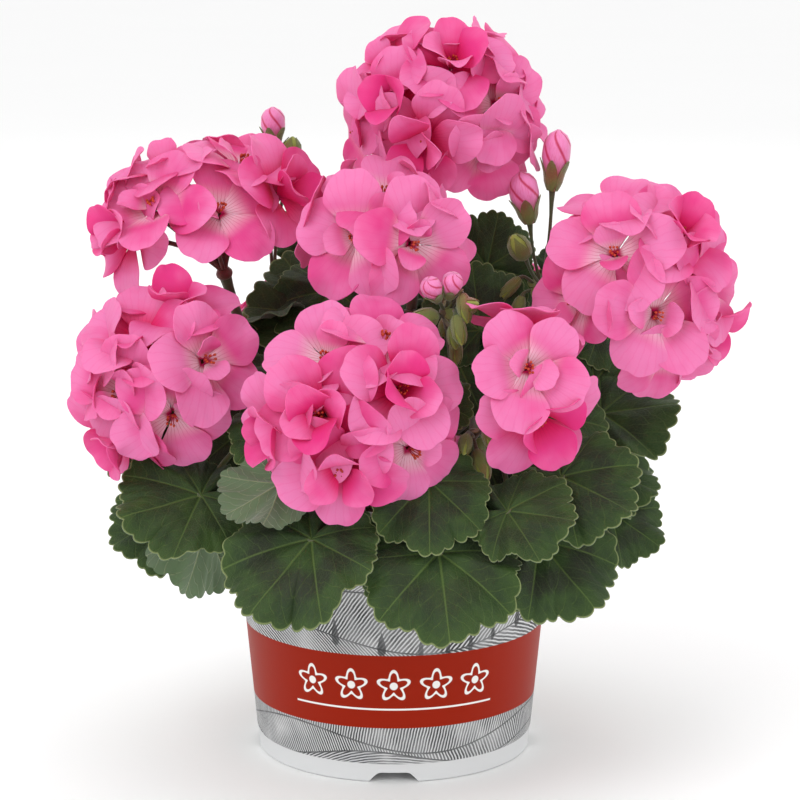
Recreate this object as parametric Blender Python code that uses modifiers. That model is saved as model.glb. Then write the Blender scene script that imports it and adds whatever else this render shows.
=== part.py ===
"""Potted geranium: a zonal geranium in full bloom, standing in its thin-walled nursery pot.

The pot stands on z = 0 with its axis on Z and its front towards -Y. The stem grows out of a socket
in the soil and forks into five branches. Flower stalks, bud clusters and leaves grow from the
branches. Each piece keeps a gap of GAP to whatever carries it. Leaves find their own room: each
one starts from its place in LEAVES and tries small variations until it touches nothing.
"""

import math
from itertools import combinations

import bmesh
import bpy
from mathutils import Matrix, Vector
from mathutils.bvhtree import BVHTree

MM = 0.001

# Pot
RIM_RADIUS = 65 * MM
BASE_RADIUS = 54.5 * MM
POT_HEIGHT = 110 * MM
POT_WALL = 1.4 * MM
LIP_WIDTH = 1.6 * MM
LIP_HEIGHT = 6 * MM
LIP_CHAMFER = 0.5 * MM
FOOT_WIDTH = 3 * MM
FOOT_HEIGHT = 4.5 * MM
FLOOR_THICKNESS = 1.5 * MM
NOTCH_COUNT = 4
NOTCH_HEIGHT = 4 * MM
NOTCH_TOP_WIDTH = 11 * MM
NOTCH_BOTTOM_WIDTH = 22 * MM
DRAIN_COUNT = 4
DRAIN_RADIUS = 4 * MM
DRAIN_CIRCLE = 34 * MM
POT_STEPS = 48

# Soil
SOIL_DEPTH_BELOW_RIM = 15 * MM
SOIL_EDGE_DROP = 2.5 * MM
SOIL_CREST = 0.6
SOIL_CREST_DROP = 0.3
SOIL_STEPS = 24

# Free space over the soil, behind the stem, where a can waters the plant
WATERING_WIDTH = 28 * MM
WATERING_DEPTH = 32 * MM
WATERING_FROM_WALL = 4 * MM
WATERING_MARGIN = 0.8 * MM

# Woody stem
GAP = 0.3 * MM
TRUNK_RADIUS = 6 * MM
TRUNK_SOCKET = 14 * MM
TRUNK_FORK_BELOW_RIM = 3 * MM
TRUNK_CROWN = 4 * MM
BRANCH_RADIUS = 3.6 * MM
BRANCH_TAPER = 0.15
BRANCH_POINTS = 6
BRANCH_PULL = 0.35
BRANCH_FORK_RISE = 0.9
BRANCH_TIP_RISE = 4.23

# Flower stalks and bud clusters
STALK_RADIUS = 2.1 * MM
STALK_POINTS = 8
STALK_LEAD = 1 * MM
BUD_STALK_RADIUS = 1.7 * MM
BUD_HUB_RADIUS = 2.9 * MM
PEDICEL_RADIUS = 0.9 * MM
BUD_PROFILE = ((0.25, 0.85), (0.5, 1.0), (0.8, 0.62), (1.0, 0.15))

# A flower head's outline: share of its height, then share of its radius. It is lobed, not round.
HEAD_NECK_RADIUS = 3.2 * MM
HEAD_PROFILE = ((0.30, 0.30), (0.48, 0.92), (0.64, 1.0), (0.88, 0.68))
HEAD_LOBES = 3
HEAD_LOBE_DEPTH = 0.05

# A leaf's petiole
PETIOLE_RADIUS = 1.1 * MM
PETIOLE_POINTS = 6
PETIOLE_LEAD = 3 * MM
PETIOLE_FLARE = 1.4

# How a petiole runs, each as a middle and a spread: its root's share along the branch, how it rises
# from there, how steeply it meets the blade and how far its bends reach
PETIOLE_ROOT = (0.6, 0.38)
PETIOLE_RISE = (0.2, 0.2)
PETIOLE_STEEPNESS = (0.95, 0.75)
PETIOLE_PULL = (0.42, 0.12)

# A leaf's blade: its thickness and the shares of its radius that shape it
BLADE_THICKNESS = 1.0 * MM
BLADE_MIDDLE = 0.55
BLADE_TIP_REACH = 0.22
BLADE_NOTCH = 0.5
BLADE_CUP = 0.16
BLADE_DROOP = 0.22
BLADE_WAVE = 0.06
BLADE_WAVES = 5
SIDES = 12

# How far a leaf may move from its design place to find room, how close two leaves may root, and how
# far from the bark the room for a petiole's end is measured
ROOT_SEAT = 0.7 * GAP
NEAREST_ROOT = 2.4 * MM
TRIES = 6000
MOST_LIFT = 26 * MM
MOST_SHIFT = 14 * MM
MOST_TILT = math.radians(28)
MOST_TURN = math.radians(60)
FIRST_SPREAD_STEP = 0.618034
SPREADS = 10

# Where the branches end: azimuth in degrees, distance from the axis and height over the rim.
BRANCHES = {
    "left": (172, 34, 44),
    "right": (-8, 36, 44),
    "front": (-92, 34, 24),
    "back": (88, 32, 36),
    "centre": (30, 8, 66),
}

# Flower heads: branch and how far along it the stalk starts, then the hub's azimuth, distance from
# the axis and height over the rim, the way the head faces, its radius and height, and its stretch.
HEADS = {
    "top": ("centre", 1.0, (20, 20, 119), (0.0, -0.15, 1.0), 39, 54, 1.0),
    "upper_left": ("left", 0.92, (176, 67, 80), (-0.25, -0.3, 0.9), 38, 50, 1.0),
    "lower_left": ("left", 0.6, (-158, 78, 38), (-0.4, -0.7, 0.5), 33, 40, 1.05),
    "front": ("front", 1.0, (-98, 66, 34), (-0.05, -0.85, 0.4), 35, 44, 1.05),
    "middle": ("centre", 0.72, (-93, 24, 86), (-0.1, -0.6, 0.8), 28, 38, 1.0),
    "right_front": ("front", 0.62, (-57, 80, 46), (0.15, -0.8, 0.4), 21, 32, 1.3),
    "right": ("right", 0.95, (-13, 82, 66), (0.35, -0.65, 0.65), 34, 46, 1.05),
    "back_left": ("back", 0.9, (122, 66, 28), (-0.35, 0.75, 0.45), 34, 42, 1.0),
    "back_right": ("back", 0.66, (58, 68, 34), (0.35, 0.75, 0.45), 34, 42, 1.0),
}

# Bud clusters: branch and place along it, the hub, then one entry for each bud: where its tip is
# from the hub, its length and its radius.
BUD_CLUSTERS = {
    "left": (
        "left",
        0.78,
        (138, 66, 58),
        (((0, 2, 84), 17, 5.0), ((8, 2, 72), 10, 4.2)),
    ),
    "right": (
        "right",
        0.74,
        (-2, 58, 76),
        (
            ((6, -3, 62), 24, 5.6),
            ((-9, -6, 46), 21, 6.0),
            ((-12, -12, 22), 12, 4.6),
            ((9, -12, 19), 12, 4.4),
        ),
    ),
    "centre": (
        "front",
        0.84,
        (-73, 66, 76),
        (
            ((3, -9, 16), 12, 4.0),
            ((-7, -12, 14), 12, 4.0),
            ((-14, -9, -3), 13, 4.2),
            ((12, -10, 5), 10, 3.2),
        ),
    ),
    "front": (
        "right",
        0.5,
        (-66, 72, 30),
        (((5, -14, -15), 14, 3.6), ((-9, -12, -2), 10, 3.2)),
    ),
}

# Leaves: branch, then the hub's azimuth, its distance beyond the rim and its height over the rim,
# the way the tip points, the way the upper side faces, and the blade's radius.
LEAVES = {
    "dark_centre": ("front", (-106, 11, -6), (0.0, -0.1, -1.0), (0.0, -1.0, 0.1), 22),
    "small_light": ("front", (-91, 9, -20), (-0.3, -0.1, -0.95), (0.0, -1.0, 0.05), 19),
    "dark_low": ("front", (-54, 9, -18), (0.4, -0.2, -0.9), (0.5, -0.85, 0.0), 22),
    "left_hanging": ("left", (-150, 18, -10), (-0.3, -0.15, -0.95), (0.5, 0.75, 0.1), 30),
    "right_pale": ("right", (-16, 17, -14), (0.85, -0.2, -0.5), (0.4, -0.7, 0.5), 24),
    "front_centre": ("front", (-80, 31, -8), (0.1, -0.68, -0.72), (0.03, -0.72, 0.7), 38),
    "front_left": ("front", (-111, 25, -7), (-0.6, -0.45, -0.66), (-0.3, -0.75, 0.6), 39),
    "right_down": ("right", (-50, 24, -12), (0.6, -0.45, -0.66), (0.0, -0.7, 0.7), 35),
    "right_mid": ("front", (-64, 30, 4), (0.9, -0.4, 0.0), (0.1, -0.7, 0.7), 27),
    "left_low": ("left", (-168, 22, -10), (-0.85, -0.2, -0.45), (-0.5, -0.75, 0.4), 30),
    "left_front": ("left", (-140, 30, 6), (-0.9, -0.45, -0.2), (-0.3, -0.7, 0.65), 34),
    "left_upper": ("left", (-170, 27, 17), (-0.9, -0.2, 0.1), (-0.3, -0.4, 0.85), 30),
    "grey_under": ("front", (-118, 24, 14), (-0.8, -0.35, -0.4), (0.2, 0.6, -0.75), 25),
    "under_head": ("front", (-82, 21, 17), (0.0, -0.6, -0.8), (0.0, -0.8, 0.6), 29),
    "right_frilly": ("right", (-50, 32, 16), (0.8, -0.5, -0.3), (0.1, -0.75, 0.65), 32),
    "between_heads": ("left", (-126, 6, 36), (0.0, -0.6, -0.8), (-0.1, -0.8, 0.6), 27),
    "far_right_low": ("right", (-8, 14, 4), (0.9, -0.15, -0.35), (0.4, -0.6, 0.7), 29),
    "far_right_up": ("right", (-4, 17, 26), (0.95, -0.1, 0.1), (0.2, -0.6, 0.75), 32),
    "right_behind": ("right", (-38, 6, 36), (0.6, -0.4, -0.5), (0.3, -0.7, 0.65), 28),
    "big_dark": ("left", (145, -36, 56), (-0.5, 0.5, 0.65), (0.1, -0.75, 0.65), 38),
    "upper_left": ("back", (128, -14, 86), (-0.4, 0.3, 0.8), (-0.2, -0.85, 0.5), 24),
    "olive": ("left", (-150, -18, 48), (-0.8, -0.5, -0.2), (-0.3, -0.4, 0.85), 26),
    "upper_right": ("centre", (30, -22, 80), (0.2, 0.3, 0.9), (0.1, -0.85, 0.45), 24),
    "upper_centre": ("centre", (-16, -30, 60), (-0.1, 0.4, 0.85), (0.0, -0.85, 0.5), 29),
    "right_upper": ("right", (16, 0, 55), (0.3, 0.2, 0.9), (0.2, -0.8, 0.5), 28),
    "left_mid": ("left", (168, 2, 48), (-0.9, 0.2, 0.1), (-0.2, -0.3, 0.9), 30),
    "front_mid": ("front", (-74, -16, 44), (0.2, -0.7, -0.3), (0.0, -0.4, 0.9), 24),
    "back_right": ("right", (30, 28, 5), (0.7, 0.4, -0.5), (0.4, 0.25, 0.85), 34),
    "back_right_low": ("back", (60, 24, -7), (0.4, 0.7, -0.6), (0.3, 0.45, 0.8), 36),
    "back": ("back", (90, 27, 8), (0.0, 0.85, -0.5), (0.0, 0.45, 0.85), 36),
    "back_left_low": ("back", (120, 24, -6), (-0.4, 0.7, -0.6), (-0.25, 0.45, 0.8), 36),
    "back_left": ("left", (150, 27, 6), (-0.75, 0.4, -0.45), (-0.4, 0.25, 0.85), 34),
    "back_upper_right": ("back", (60, -16, 64), (0.3, 0.8, 0.45), (0.0, -0.4, 0.9), 26),
    "back_upper_left": ("back", (105, -30, 66), (-0.2, 0.8, 0.55), (0.0, -0.5, 0.85), 26),
}

# Principled BSDF values: base colour, roughness and metallic.
FINISHES = {
    "pot_plastic": ((0.86, 0.86, 0.85), 0.4, 0.0),
    "soil": ((0.035, 0.022, 0.014), 0.95, 0.0),
    "stem_green": ((0.07, 0.08, 0.03), 0.7, 0.0),
    "leaf_green": ((0.035, 0.085, 0.022), 0.65, 0.0),
    "petal_pink": ((0.9, 0.16, 0.4), 0.55, 0.0),
    "bud_green": ((0.2, 0.24, 0.06), 0.6, 0.0),
}


def pot_radius(height):
    """Outer radius of the tapered wall at a height over the table."""
    return BASE_RADIUS + (RIM_RADIUS - BASE_RADIUS) * height / POT_HEIGHT


def polar(azimuth, radius, height):
    """A point from its azimuth in degrees, its distance from the pot's axis and its height."""
    angle = math.radians(azimuth)
    return Vector((radius * math.cos(angle), radius * math.sin(angle), height))


def new_collection(name):
    collection = bpy.data.collections.new(name)
    bpy.context.scene.collection.children.link(collection)
    return collection


def finish_material(name):
    """The named finish as a Principled BSDF material, made once."""
    material = bpy.data.materials.get(name)
    if material:
        return material
    colour, roughness, metallic = FINISHES[name]
    material = bpy.data.materials.new(name)
    material.use_nodes = True
    shader = material.node_tree.nodes["Principled BSDF"]
    shader.inputs["Base Color"].default_value = (*colour, 1.0)
    shader.inputs["Roughness"].default_value = roughness
    shader.inputs["Metallic"].default_value = metallic
    material.diffuse_color = (*colour, 1.0)
    return material


def add_object(name, data, collection, finish=None):
    obj = bpy.data.objects.new(name, data)
    collection.objects.link(obj)
    if finish:
        data.materials.append(finish_material(finish))
    return obj


def mesh_of(name, bm):
    mesh = bpy.data.meshes.new(name)
    bm.to_mesh(mesh)
    bm.free()
    return mesh


def as_guide(obj):
    obj.hide_render = True
    obj.display_type = "WIRE"
    return obj


def turned(name, profile, steps, collection, finish):
    """A solid turned round Z from a profile in the XZ plane that starts and ends on the axis."""
    mesh = bpy.data.meshes.new(name)
    points = [(radius, 0.0, height) for radius, height in profile]
    edges = [(i, i + 1) for i in range(len(points) - 1)]
    mesh.from_pydata(points, edges, [])
    obj = add_object(name, mesh, collection, finish)
    screw = obj.modifiers.new("Turn", "SCREW")
    screw.axis = "Z"
    screw.steps = steps
    screw.render_steps = steps
    screw.use_merge_vertices = True
    screw.merge_threshold = 0.00005
    screw.use_smooth_shade = True
    return obj


def cut(obj, cutter):
    as_guide(cutter)
    modifier = obj.modifiers.new("Cut " + cutter.name, "BOOLEAN")
    modifier.operation = "DIFFERENCE"
    modifier.solver = "EXACT"
    modifier.object = cutter


def notch_cutter(index, collection):
    """A trapezoid prism that opens the foot ring at one of its drainage notches."""
    bm = bmesh.new()
    bmesh.ops.create_cube(bm, size=1.0)
    depth = FOOT_WIDTH * 4
    below = MM
    flare = (NOTCH_BOTTOM_WIDTH - NOTCH_TOP_WIDTH) * below / NOTCH_HEIGHT
    for vertex in bm.verts:
        top = vertex.co.z > 0
        width = NOTCH_TOP_WIDTH if top else NOTCH_BOTTOM_WIDTH + flare
        height = NOTCH_HEIGHT if top else -below
        radius = BASE_RADIUS - FOOT_WIDTH / 2
        vertex.co = Vector((vertex.co.x * width, -radius + vertex.co.y * depth, height))
    bmesh.ops.rotate(bm, verts=bm.verts, matrix=Matrix.Rotation(index * math.tau / NOTCH_COUNT, 3, "Z"))
    return add_object(f"notch_{index}", mesh_of(f"notch_{index}", bm), collection)


def drain_cutter(index, collection):
    """A round drain hole through the raised floor, between two notches."""
    bm = bmesh.new()
    length = FLOOR_THICKNESS * 4
    bmesh.ops.create_cone(
        bm, cap_ends=True, segments=12, radius1=DRAIN_RADIUS, radius2=DRAIN_RADIUS, depth=length
    )
    place = polar(45 + index * 360 / DRAIN_COUNT, DRAIN_CIRCLE, FOOT_HEIGHT + FLOOR_THICKNESS / 2)
    bmesh.ops.translate(bm, verts=bm.verts, vec=place)
    return add_object(f"drain_{index}", mesh_of(f"drain_{index}", bm), collection)


def make_pot(collection, cutters):
    floor_top = FOOT_HEIGHT + FLOOR_THICKNESS
    lip_foot = POT_HEIGHT - LIP_HEIGHT
    profile = [
        (0.0, floor_top),
        (pot_radius(floor_top) - POT_WALL, floor_top),
        (RIM_RADIUS - POT_WALL, POT_HEIGHT),
        (RIM_RADIUS + LIP_WIDTH - LIP_CHAMFER, POT_HEIGHT),
        (RIM_RADIUS + LIP_WIDTH, POT_HEIGHT - LIP_CHAMFER),
        (pot_radius(lip_foot) + LIP_WIDTH, lip_foot),
        (pot_radius(lip_foot), lip_foot),
        (BASE_RADIUS, 0.0),
        (BASE_RADIUS - FOOT_WIDTH, 0.0),
        (pot_radius(FOOT_HEIGHT) - FOOT_WIDTH, FOOT_HEIGHT),
        (0.0, FOOT_HEIGHT),
    ]
    pot = turned("pot", profile, POT_STEPS, collection, "pot_plastic")
    for index in range(NOTCH_COUNT):
        cut(pot, notch_cutter(index, cutters))
    for index in range(DRAIN_COUNT):
        cut(pot, drain_cutter(index, cutters))
    return pot


def make_soil(collection):
    """The root ball's soil, with a socket that the trunk stands in."""
    top = POT_HEIGHT - SOIL_DEPTH_BELOW_RIM
    edge = top - SOIL_EDGE_DROP
    bottom = FOOT_HEIGHT + FLOOR_THICKNESS + GAP
    socket_radius = TRUNK_RADIUS + GAP
    profile = [
        (0.0, top - TRUNK_SOCKET - GAP),
        (socket_radius, top - TRUNK_SOCKET - GAP),
        (socket_radius, top),
        (SOIL_CREST * pot_radius(top), top - SOIL_CREST_DROP * SOIL_EDGE_DROP),
        (pot_radius(edge) - POT_WALL - GAP, edge),
        (pot_radius(bottom) - POT_WALL - GAP, bottom),
        (0.0, bottom),
    ]
    return turned("soil", profile, SOIL_STEPS, collection, "soil")


def watering_guide(collection):
    """The box over the soil that stays free."""
    top = POT_HEIGHT - WATERING_MARGIN
    bottom = POT_HEIGHT - SOIL_DEPTH_BELOW_RIM + WATERING_MARGIN
    back = pot_radius(bottom) - POT_WALL - WATERING_FROM_WALL
    bm = bmesh.new()
    bmesh.ops.create_cube(bm, size=1.0)
    bmesh.ops.scale(bm, verts=bm.verts, vec=(WATERING_WIDTH, WATERING_DEPTH, top - bottom))
    bmesh.ops.translate(bm, verts=bm.verts, vec=(0, back - WATERING_DEPTH / 2, (top + bottom) / 2))
    return as_guide(add_object("watering_space", mesh_of("watering_space", bm), collection))


def bow(start, start_way, end, end_way, count, pull=0.4):
    """Points along a smooth curve that leaves start one way and arrives at end another way."""
    reach = (end - start).length * pull
    first = start + start_way.normalized() * reach
    second = end - end_way.normalized() * reach
    points = []
    for step in range(count):
        t = step / (count - 1)
        s = 1 - t
        points.append(start * s**3 + first * 3 * s * s * t + second * 3 * s * t * t + end * t**3)
    return points


def loft(rings, first_pole, last_pole):
    """Vertices and faces of a closed solid through rings that turn left-handed round their way."""
    vertices = [first_pole]
    for ring in rings:
        vertices.extend(ring)
    vertices.append(last_pole)
    sides = len(rings[0])
    last = len(vertices) - 1
    faces = []
    for i in range(sides):
        j = (i + 1) % sides
        faces.append((0, 1 + j, 1 + i))
        for ring in range(len(rings) - 1):
            a = 1 + ring * sides
            b = a + sides
            faces.append((a + i, a + j, b + j, b + i))
        end = 1 + (len(rings) - 1) * sides
        faces.append((end + i, end + j, last))
    return vertices, faces


def ring_at(centre, way, reference, radius, sides):
    """A round ring of points, square to its way, that starts at the reference side."""
    across = (reference - way * reference.dot(way)).normalized()
    up = way.cross(across)
    points = []
    for i in range(sides):
        angle = math.tau * i / sides
        points.append(centre + (across * math.cos(angle) + up * math.sin(angle)) * radius)
    return points


def ways_along(points):
    """The unit way of travel at each point of a path."""
    last = len(points) - 1
    return [(points[min(i + 1, last)] - points[max(i - 1, 0)]).normalized() for i in range(last + 1)]


def tube(name, points, radii, resolution, collection, finish=None):
    """A round tube along a path, with a radius at each point, as one closed mesh."""
    curve = bpy.data.curves.new(name, "CURVE")
    curve.dimensions = "3D"
    curve.bevel_depth = max(radii)
    curve.bevel_resolution = resolution
    curve.use_fill_caps = True
    spline = curve.splines.new("POLY")
    spline.points.add(len(points) - 1)
    for knot, point, radius in zip(spline.points, points, radii):
        knot.co = (*point, 1.0)
        knot.radius = radius / max(radii)
    guide = add_object(name + "_path", curve, collection)
    evaluated = guide.evaluated_get(bpy.context.evaluated_depsgraph_get())
    mesh = bpy.data.meshes.new_from_object(evaluated)
    bpy.data.objects.remove(guide)
    bm = bmesh.new()
    bm.from_mesh(mesh)
    bmesh.ops.remove_doubles(bm, verts=bm.verts, dist=0.001 * MM)
    bpy.data.meshes.remove(mesh)
    return add_round(name, mesh_of(name, bm), collection, finish)


def add_round(name, mesh, collection, finish):
    """An object from a mesh, shaded smooth except at its sharp edges."""
    mesh.shade_smooth()
    mesh.set_sharp_from_angle(angle=math.radians(50))
    return add_object(name, mesh, collection, finish)


def add_solid(name, shape, collection, finish):
    vertices, faces = shape
    mesh = bpy.data.meshes.new(name)
    mesh.from_pydata([tuple(v) for v in vertices], [], faces)
    return add_round(name, mesh, collection, finish)


def join(body, others):
    """Make one solid of a body and the shapes that overlap it."""
    for other in others:
        modifier = body.modifiers.new("Join " + other.name, "BOOLEAN")
        modifier.operation = "UNION"
        modifier.solver = "EXACT"
        modifier.object = as_guide(other)
    return body


class Thicket:
    """The solids grown so far, which everything that grows later stays clear of."""

    def __init__(self):
        self.grown = []

    def add(self, shape):
        vertices, faces = shape
        low, high = corners(vertices)
        self.grown.append((low, high, BVHTree.FromPolygons(vertices, faces)))

    def add_object(self, obj):
        graph = bpy.context.evaluated_depsgraph_get()
        evaluated = obj.evaluated_get(graph)
        mesh = evaluated.to_mesh()
        vertices = [evaluated.matrix_world @ v.co for v in mesh.vertices]
        faces = [tuple(p.vertices) for p in mesh.polygons]
        evaluated.to_mesh_clear()
        self.add((vertices, faces))

    def is_clear(self, shape):
        vertices, faces = shape
        low, high = corners(vertices)
        tree = BVHTree.FromPolygons(vertices, faces)
        for other_low, other_high, other in self.grown:
            apart = any(low[k] > other_high[k] or other_low[k] > high[k] for k in range(3))
            if not apart and tree.overlap(other):
                return False
        return True


def corners(vertices):
    low = [min(v[k] for v in vertices) for k in range(3)]
    high = [max(v[k] for v in vertices) for k in range(3)]
    return low, high


class Branch:
    """One woody branch: its path, its radii and the places where things already grow from it."""

    def __init__(self, points, radii):
        self.points = points
        self.radii = radii
        self.roots = []

    def at(self, share):
        """Centre, radius and way of the branch at a share of its length."""
        place = share * (len(self.points) - 1)
        index = min(int(place), len(self.points) - 2)
        rest = place - index
        centre = self.points[index].lerp(self.points[index + 1], rest)
        radius = self.radii[index] * (1 - rest) + self.radii[index + 1] * rest
        return centre, radius, (self.points[index + 1] - self.points[index]).normalized()

    def root(self, share, towards, turn=0.0):
        """Where a stalk starts just off the bark on the side that faces a point, and its way out."""
        centre, radius, way = self.at(share)
        out = towards - centre
        out = (out - way * out.dot(way)).normalized()
        out = Matrix.Rotation(turn, 3, way) @ out
        return centre + out * (radius + GAP), out

    def tip(self):
        """Where a stalk that carries the branch on starts, just past its end."""
        way = (self.points[-1] - self.points[-2]).normalized()
        return self.points[-1] + way * GAP, way


def make_stem(collection, cutters):
    """The trunk and its five branches, one woody piece. Returns it with the branches by name."""
    fork = Vector((0, 0, POT_HEIGHT - TRUNK_FORK_BELOW_RIM))
    foot = Vector((0, 0, POT_HEIGHT - SOIL_DEPTH_BELOW_RIM - TRUNK_SOCKET))
    crown = fork + Vector((0, 0, TRUNK_CROWN))
    radii = [TRUNK_RADIUS, TRUNK_RADIUS, BRANCH_RADIUS]
    stem = tube("main_stem", [foot, fork, crown], radii, 3, collection, "stem_green")
    branches = {}
    limbs = []
    for name, (azimuth, out, up) in BRANCHES.items():
        end = polar(azimuth, out * MM, POT_HEIGHT + up * MM)
        outward = polar(azimuth, 1.0, BRANCH_FORK_RISE)
        rising = polar(azimuth, 1.0, BRANCH_TIP_RISE)
        points = bow(fork, outward, end, rising, BRANCH_POINTS, BRANCH_PULL)
        shares = [step / (BRANCH_POINTS - 1) for step in range(BRANCH_POINTS)]
        radii = [BRANCH_RADIUS * (1 + BRANCH_TAPER * (1 - 2 * share)) for share in shares]
        branches[name] = Branch(points, radii)
        limbs.append(tube("branch_" + name, points, radii, 2, cutters))
    return join(stem, limbs), branches


def head_shape(hub, way, radius, height, stretch):
    """A flower head as one closed dome on its neck of pedicels, lobed where its florets stand."""
    side = way.cross(Vector((0, 0, 1))).normalized()
    up = side.cross(way)
    rings = [ring_at(hub, way, -side, HEAD_NECK_RADIUS, SIDES)]
    for level, wide in HEAD_PROFILE:
        ring = []
        for i in range(SIDES):
            angle = math.tau * i / SIDES
            reach = wide * radius * (1 + HEAD_LOBE_DEPTH * math.cos(HEAD_LOBES * angle))
            offset = -side * math.cos(angle) * reach + up * math.sin(angle) * reach * stretch
            ring.append(hub + way * (height * level) + offset)
        rings.append(ring)
    return loft(rings, hub, hub + way * height)


def grow_heads(branches, collection, thicket):
    """The flower stalks and the heads that stand on them."""
    for name, (branch, share, place, way, radius, height, stretch) in HEADS.items():
        azimuth, out, up = place
        hub = polar(azimuth, out * MM, POT_HEIGHT + up * MM)
        way = Vector(way).normalized()
        if share == 1.0:
            start, leave = branches[branch].tip()
        else:
            start, leave = branches[branch].root(share, hub)
        path = [start] + bow(start + leave * STALK_LEAD, leave, hub - way * GAP, way, STALK_POINTS)
        radii = [STALK_RADIUS] * len(path)
        thicket.add_object(tube(f"flower_stalk_{name}", path, radii, 2, collection, "stem_green"))
        head = head_shape(hub, way, radius * MM, height * MM, stretch)
        thicket.add_object(add_solid(f"flower_head_{name}", head, collection, "petal_pink"))


def bud(name, hub, tip, length, radius, collection):
    """A bud on its pedicel: a thin tube that swells into the bud and closes at its tip."""
    end = hub + tip
    neck = end - tip.normalized() * length
    start = hub + tip.normalized() * BUD_HUB_RADIUS / 4
    points = [start, neck]
    radii = [PEDICEL_RADIUS, PEDICEL_RADIUS]
    for share, wide in BUD_PROFILE:
        points.append(neck.lerp(end, share))
        radii.append(radius * wide)
    return tube(name, points, radii, 1, collection)


def grow_buds(branches, collection, cutters, thicket):
    """Clusters of closed buds: a stalk, its swollen hub and the buds, joined into one solid."""
    for name, (branch, share, place, buds) in BUD_CLUSTERS.items():
        azimuth, out, up = place
        hub = polar(azimuth, out * MM, POT_HEIGHT + up * MM)
        start, leave = branches[branch].root(share, hub)
        arrive = sum((Vector(tip).normalized() for tip, _, _ in buds), Vector()).normalized()
        path = [start] + bow(start + leave * STALK_LEAD, leave, hub, arrive, STALK_POINTS)
        path.append(hub + arrive * BUD_HUB_RADIUS)
        radii = [BUD_STALK_RADIUS] * STALK_POINTS + [BUD_HUB_RADIUS, BUD_HUB_RADIUS / 2]
        stalk = tube(f"bud_cluster_{name}", path, radii, 1, collection, "bud_green")
        closed = []
        for index, (tip, length, radius) in enumerate(buds):
            label = f"bud_{name}_{index}"
            closed.append(bud(label, hub, Vector(tip) * MM, length * MM, radius * MM, cutters))
        thicket.add_object(join(stalk, closed))


def leaf_shape(hub, tip, face, size, path, swell=0.0):
    """A leaf as one closed solid: a cupped blade, notched at its base, and its petiole.

    The path runs from the blade's hub down the petiole to the branch. A swell fattens the leaf all
    round, to keep its distance.
    """
    side = tip.cross(face)
    half = BLADE_THICKNESS / 2 + swell

    def blade_ring(share, lift, grow=0.0):
        ring = []
        for i in range(SIDES):
            angle = math.tau * i / SIDES
            notch = BLADE_NOTCH if i == SIDES // 2 else 0.0
            outline = 1 - BLADE_TIP_REACH * (1 - math.cos(angle))
            reach = size * outline * (1 - notch) * share + grow
            wave = BLADE_WAVE * math.cos(BLADE_WAVES * angle)
            rise = size * (BLADE_CUP * share + (wave - BLADE_DROOP) * share**2)
            flat = tip * math.cos(angle) + side * math.sin(angle)
            ring.append(hub + flat * reach + face * (rise + lift))
        return ring

    rings = [
        blade_ring(BLADE_MIDDLE, half),
        blade_ring(1.0, half, swell),
        blade_ring(1.0, -half, swell),
        blade_ring(BLADE_MIDDLE, -half),
    ]
    flare = PETIOLE_RADIUS * PETIOLE_FLARE + swell
    rings.append(ring_at(hub - face * half, -face, tip, flare, SIDES))
    reference = tip
    for point, way in list(zip(path, ways_along(path)))[1:]:
        reference = (reference - way * reference.dot(way)).normalized()
        rings.append(ring_at(point, way, reference, PETIOLE_RADIUS + swell, SIDES))
    return loft(rings, hub + face * half, path[-1])


def crosses_itself(shape):
    """Whether faces of a solid that share no corner meet, whichever way its quads are split."""
    vertices, faces = shape
    triangles = []
    for face in faces:
        triangles.extend(combinations(face, 3))
    tree = BVHTree.FromPolygons(vertices, triangles)
    return any(not set(triangles[a]) & set(triangles[b]) for a, b in tree.overlap(tree))


def varied(middle_and_spread, share):
    """A value moved from its middle by a share, -1 to 1, of its spread."""
    middle, spread = middle_and_spread
    return middle + spread * share


def leaf_tries(branches, preferred, place, tip, face):
    """Ever wider variations of a leaf's design place, with the branch and path of its petiole.

    The blade moves mostly along its normal and tilts a little, so that leaves come to lie in layers.
    """
    azimuth, beyond, up = place
    design = polar(azimuth, RIM_RADIUS + beyond * MM, POT_HEIGHT + up * MM)
    side = tip.cross(face)
    nearby = sorted(branches.values(), key=lambda branch: (branch.points[-1] - design).length)
    choices = (branches[preferred], nearby[0], branches[preferred], nearby[1], nearby[2])
    steps = [FIRST_SPREAD_STEP**(0.5 + power / 2) for power in range(SPREADS)]
    for number in range(TRIES):
        widening = number / TRIES
        spread = [2 * ((number * step) % 1) - 1 for step in steps]
        hub = design + face * (spread[0] * widening * MOST_LIFT)
        hub = hub + (tip * spread[1] + side * spread[2]) * widening * MOST_SHIFT
        tilt = Matrix.Rotation(spread[3] * widening * MOST_TILT, 3, side)
        roll = Matrix.Rotation(spread[4] * widening * MOST_TILT, 3, tip)
        way = tilt @ tip
        normal = tilt @ roll @ face
        branch = choices[number % len(choices)]
        root = varied(PETIOLE_ROOT, spread[5])
        start, leave = branch.root(root, hub, MOST_TURN * spread[6])
        leave = leave + Vector((0, 0, varied(PETIOLE_RISE, spread[7])))
        base = hub - normal * (BLADE_THICKNESS / 2)
        neck = base - normal * PETIOLE_LEAD
        arrive = way + normal * varied(PETIOLE_STEEPNESS, spread[9])
        pull = varied(PETIOLE_PULL, spread[8])
        path = [base] + bow(neck, -arrive, start, -leave, PETIOLE_POINTS, pull)
        yield branch, hub, way, normal, path, start, leave


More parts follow.
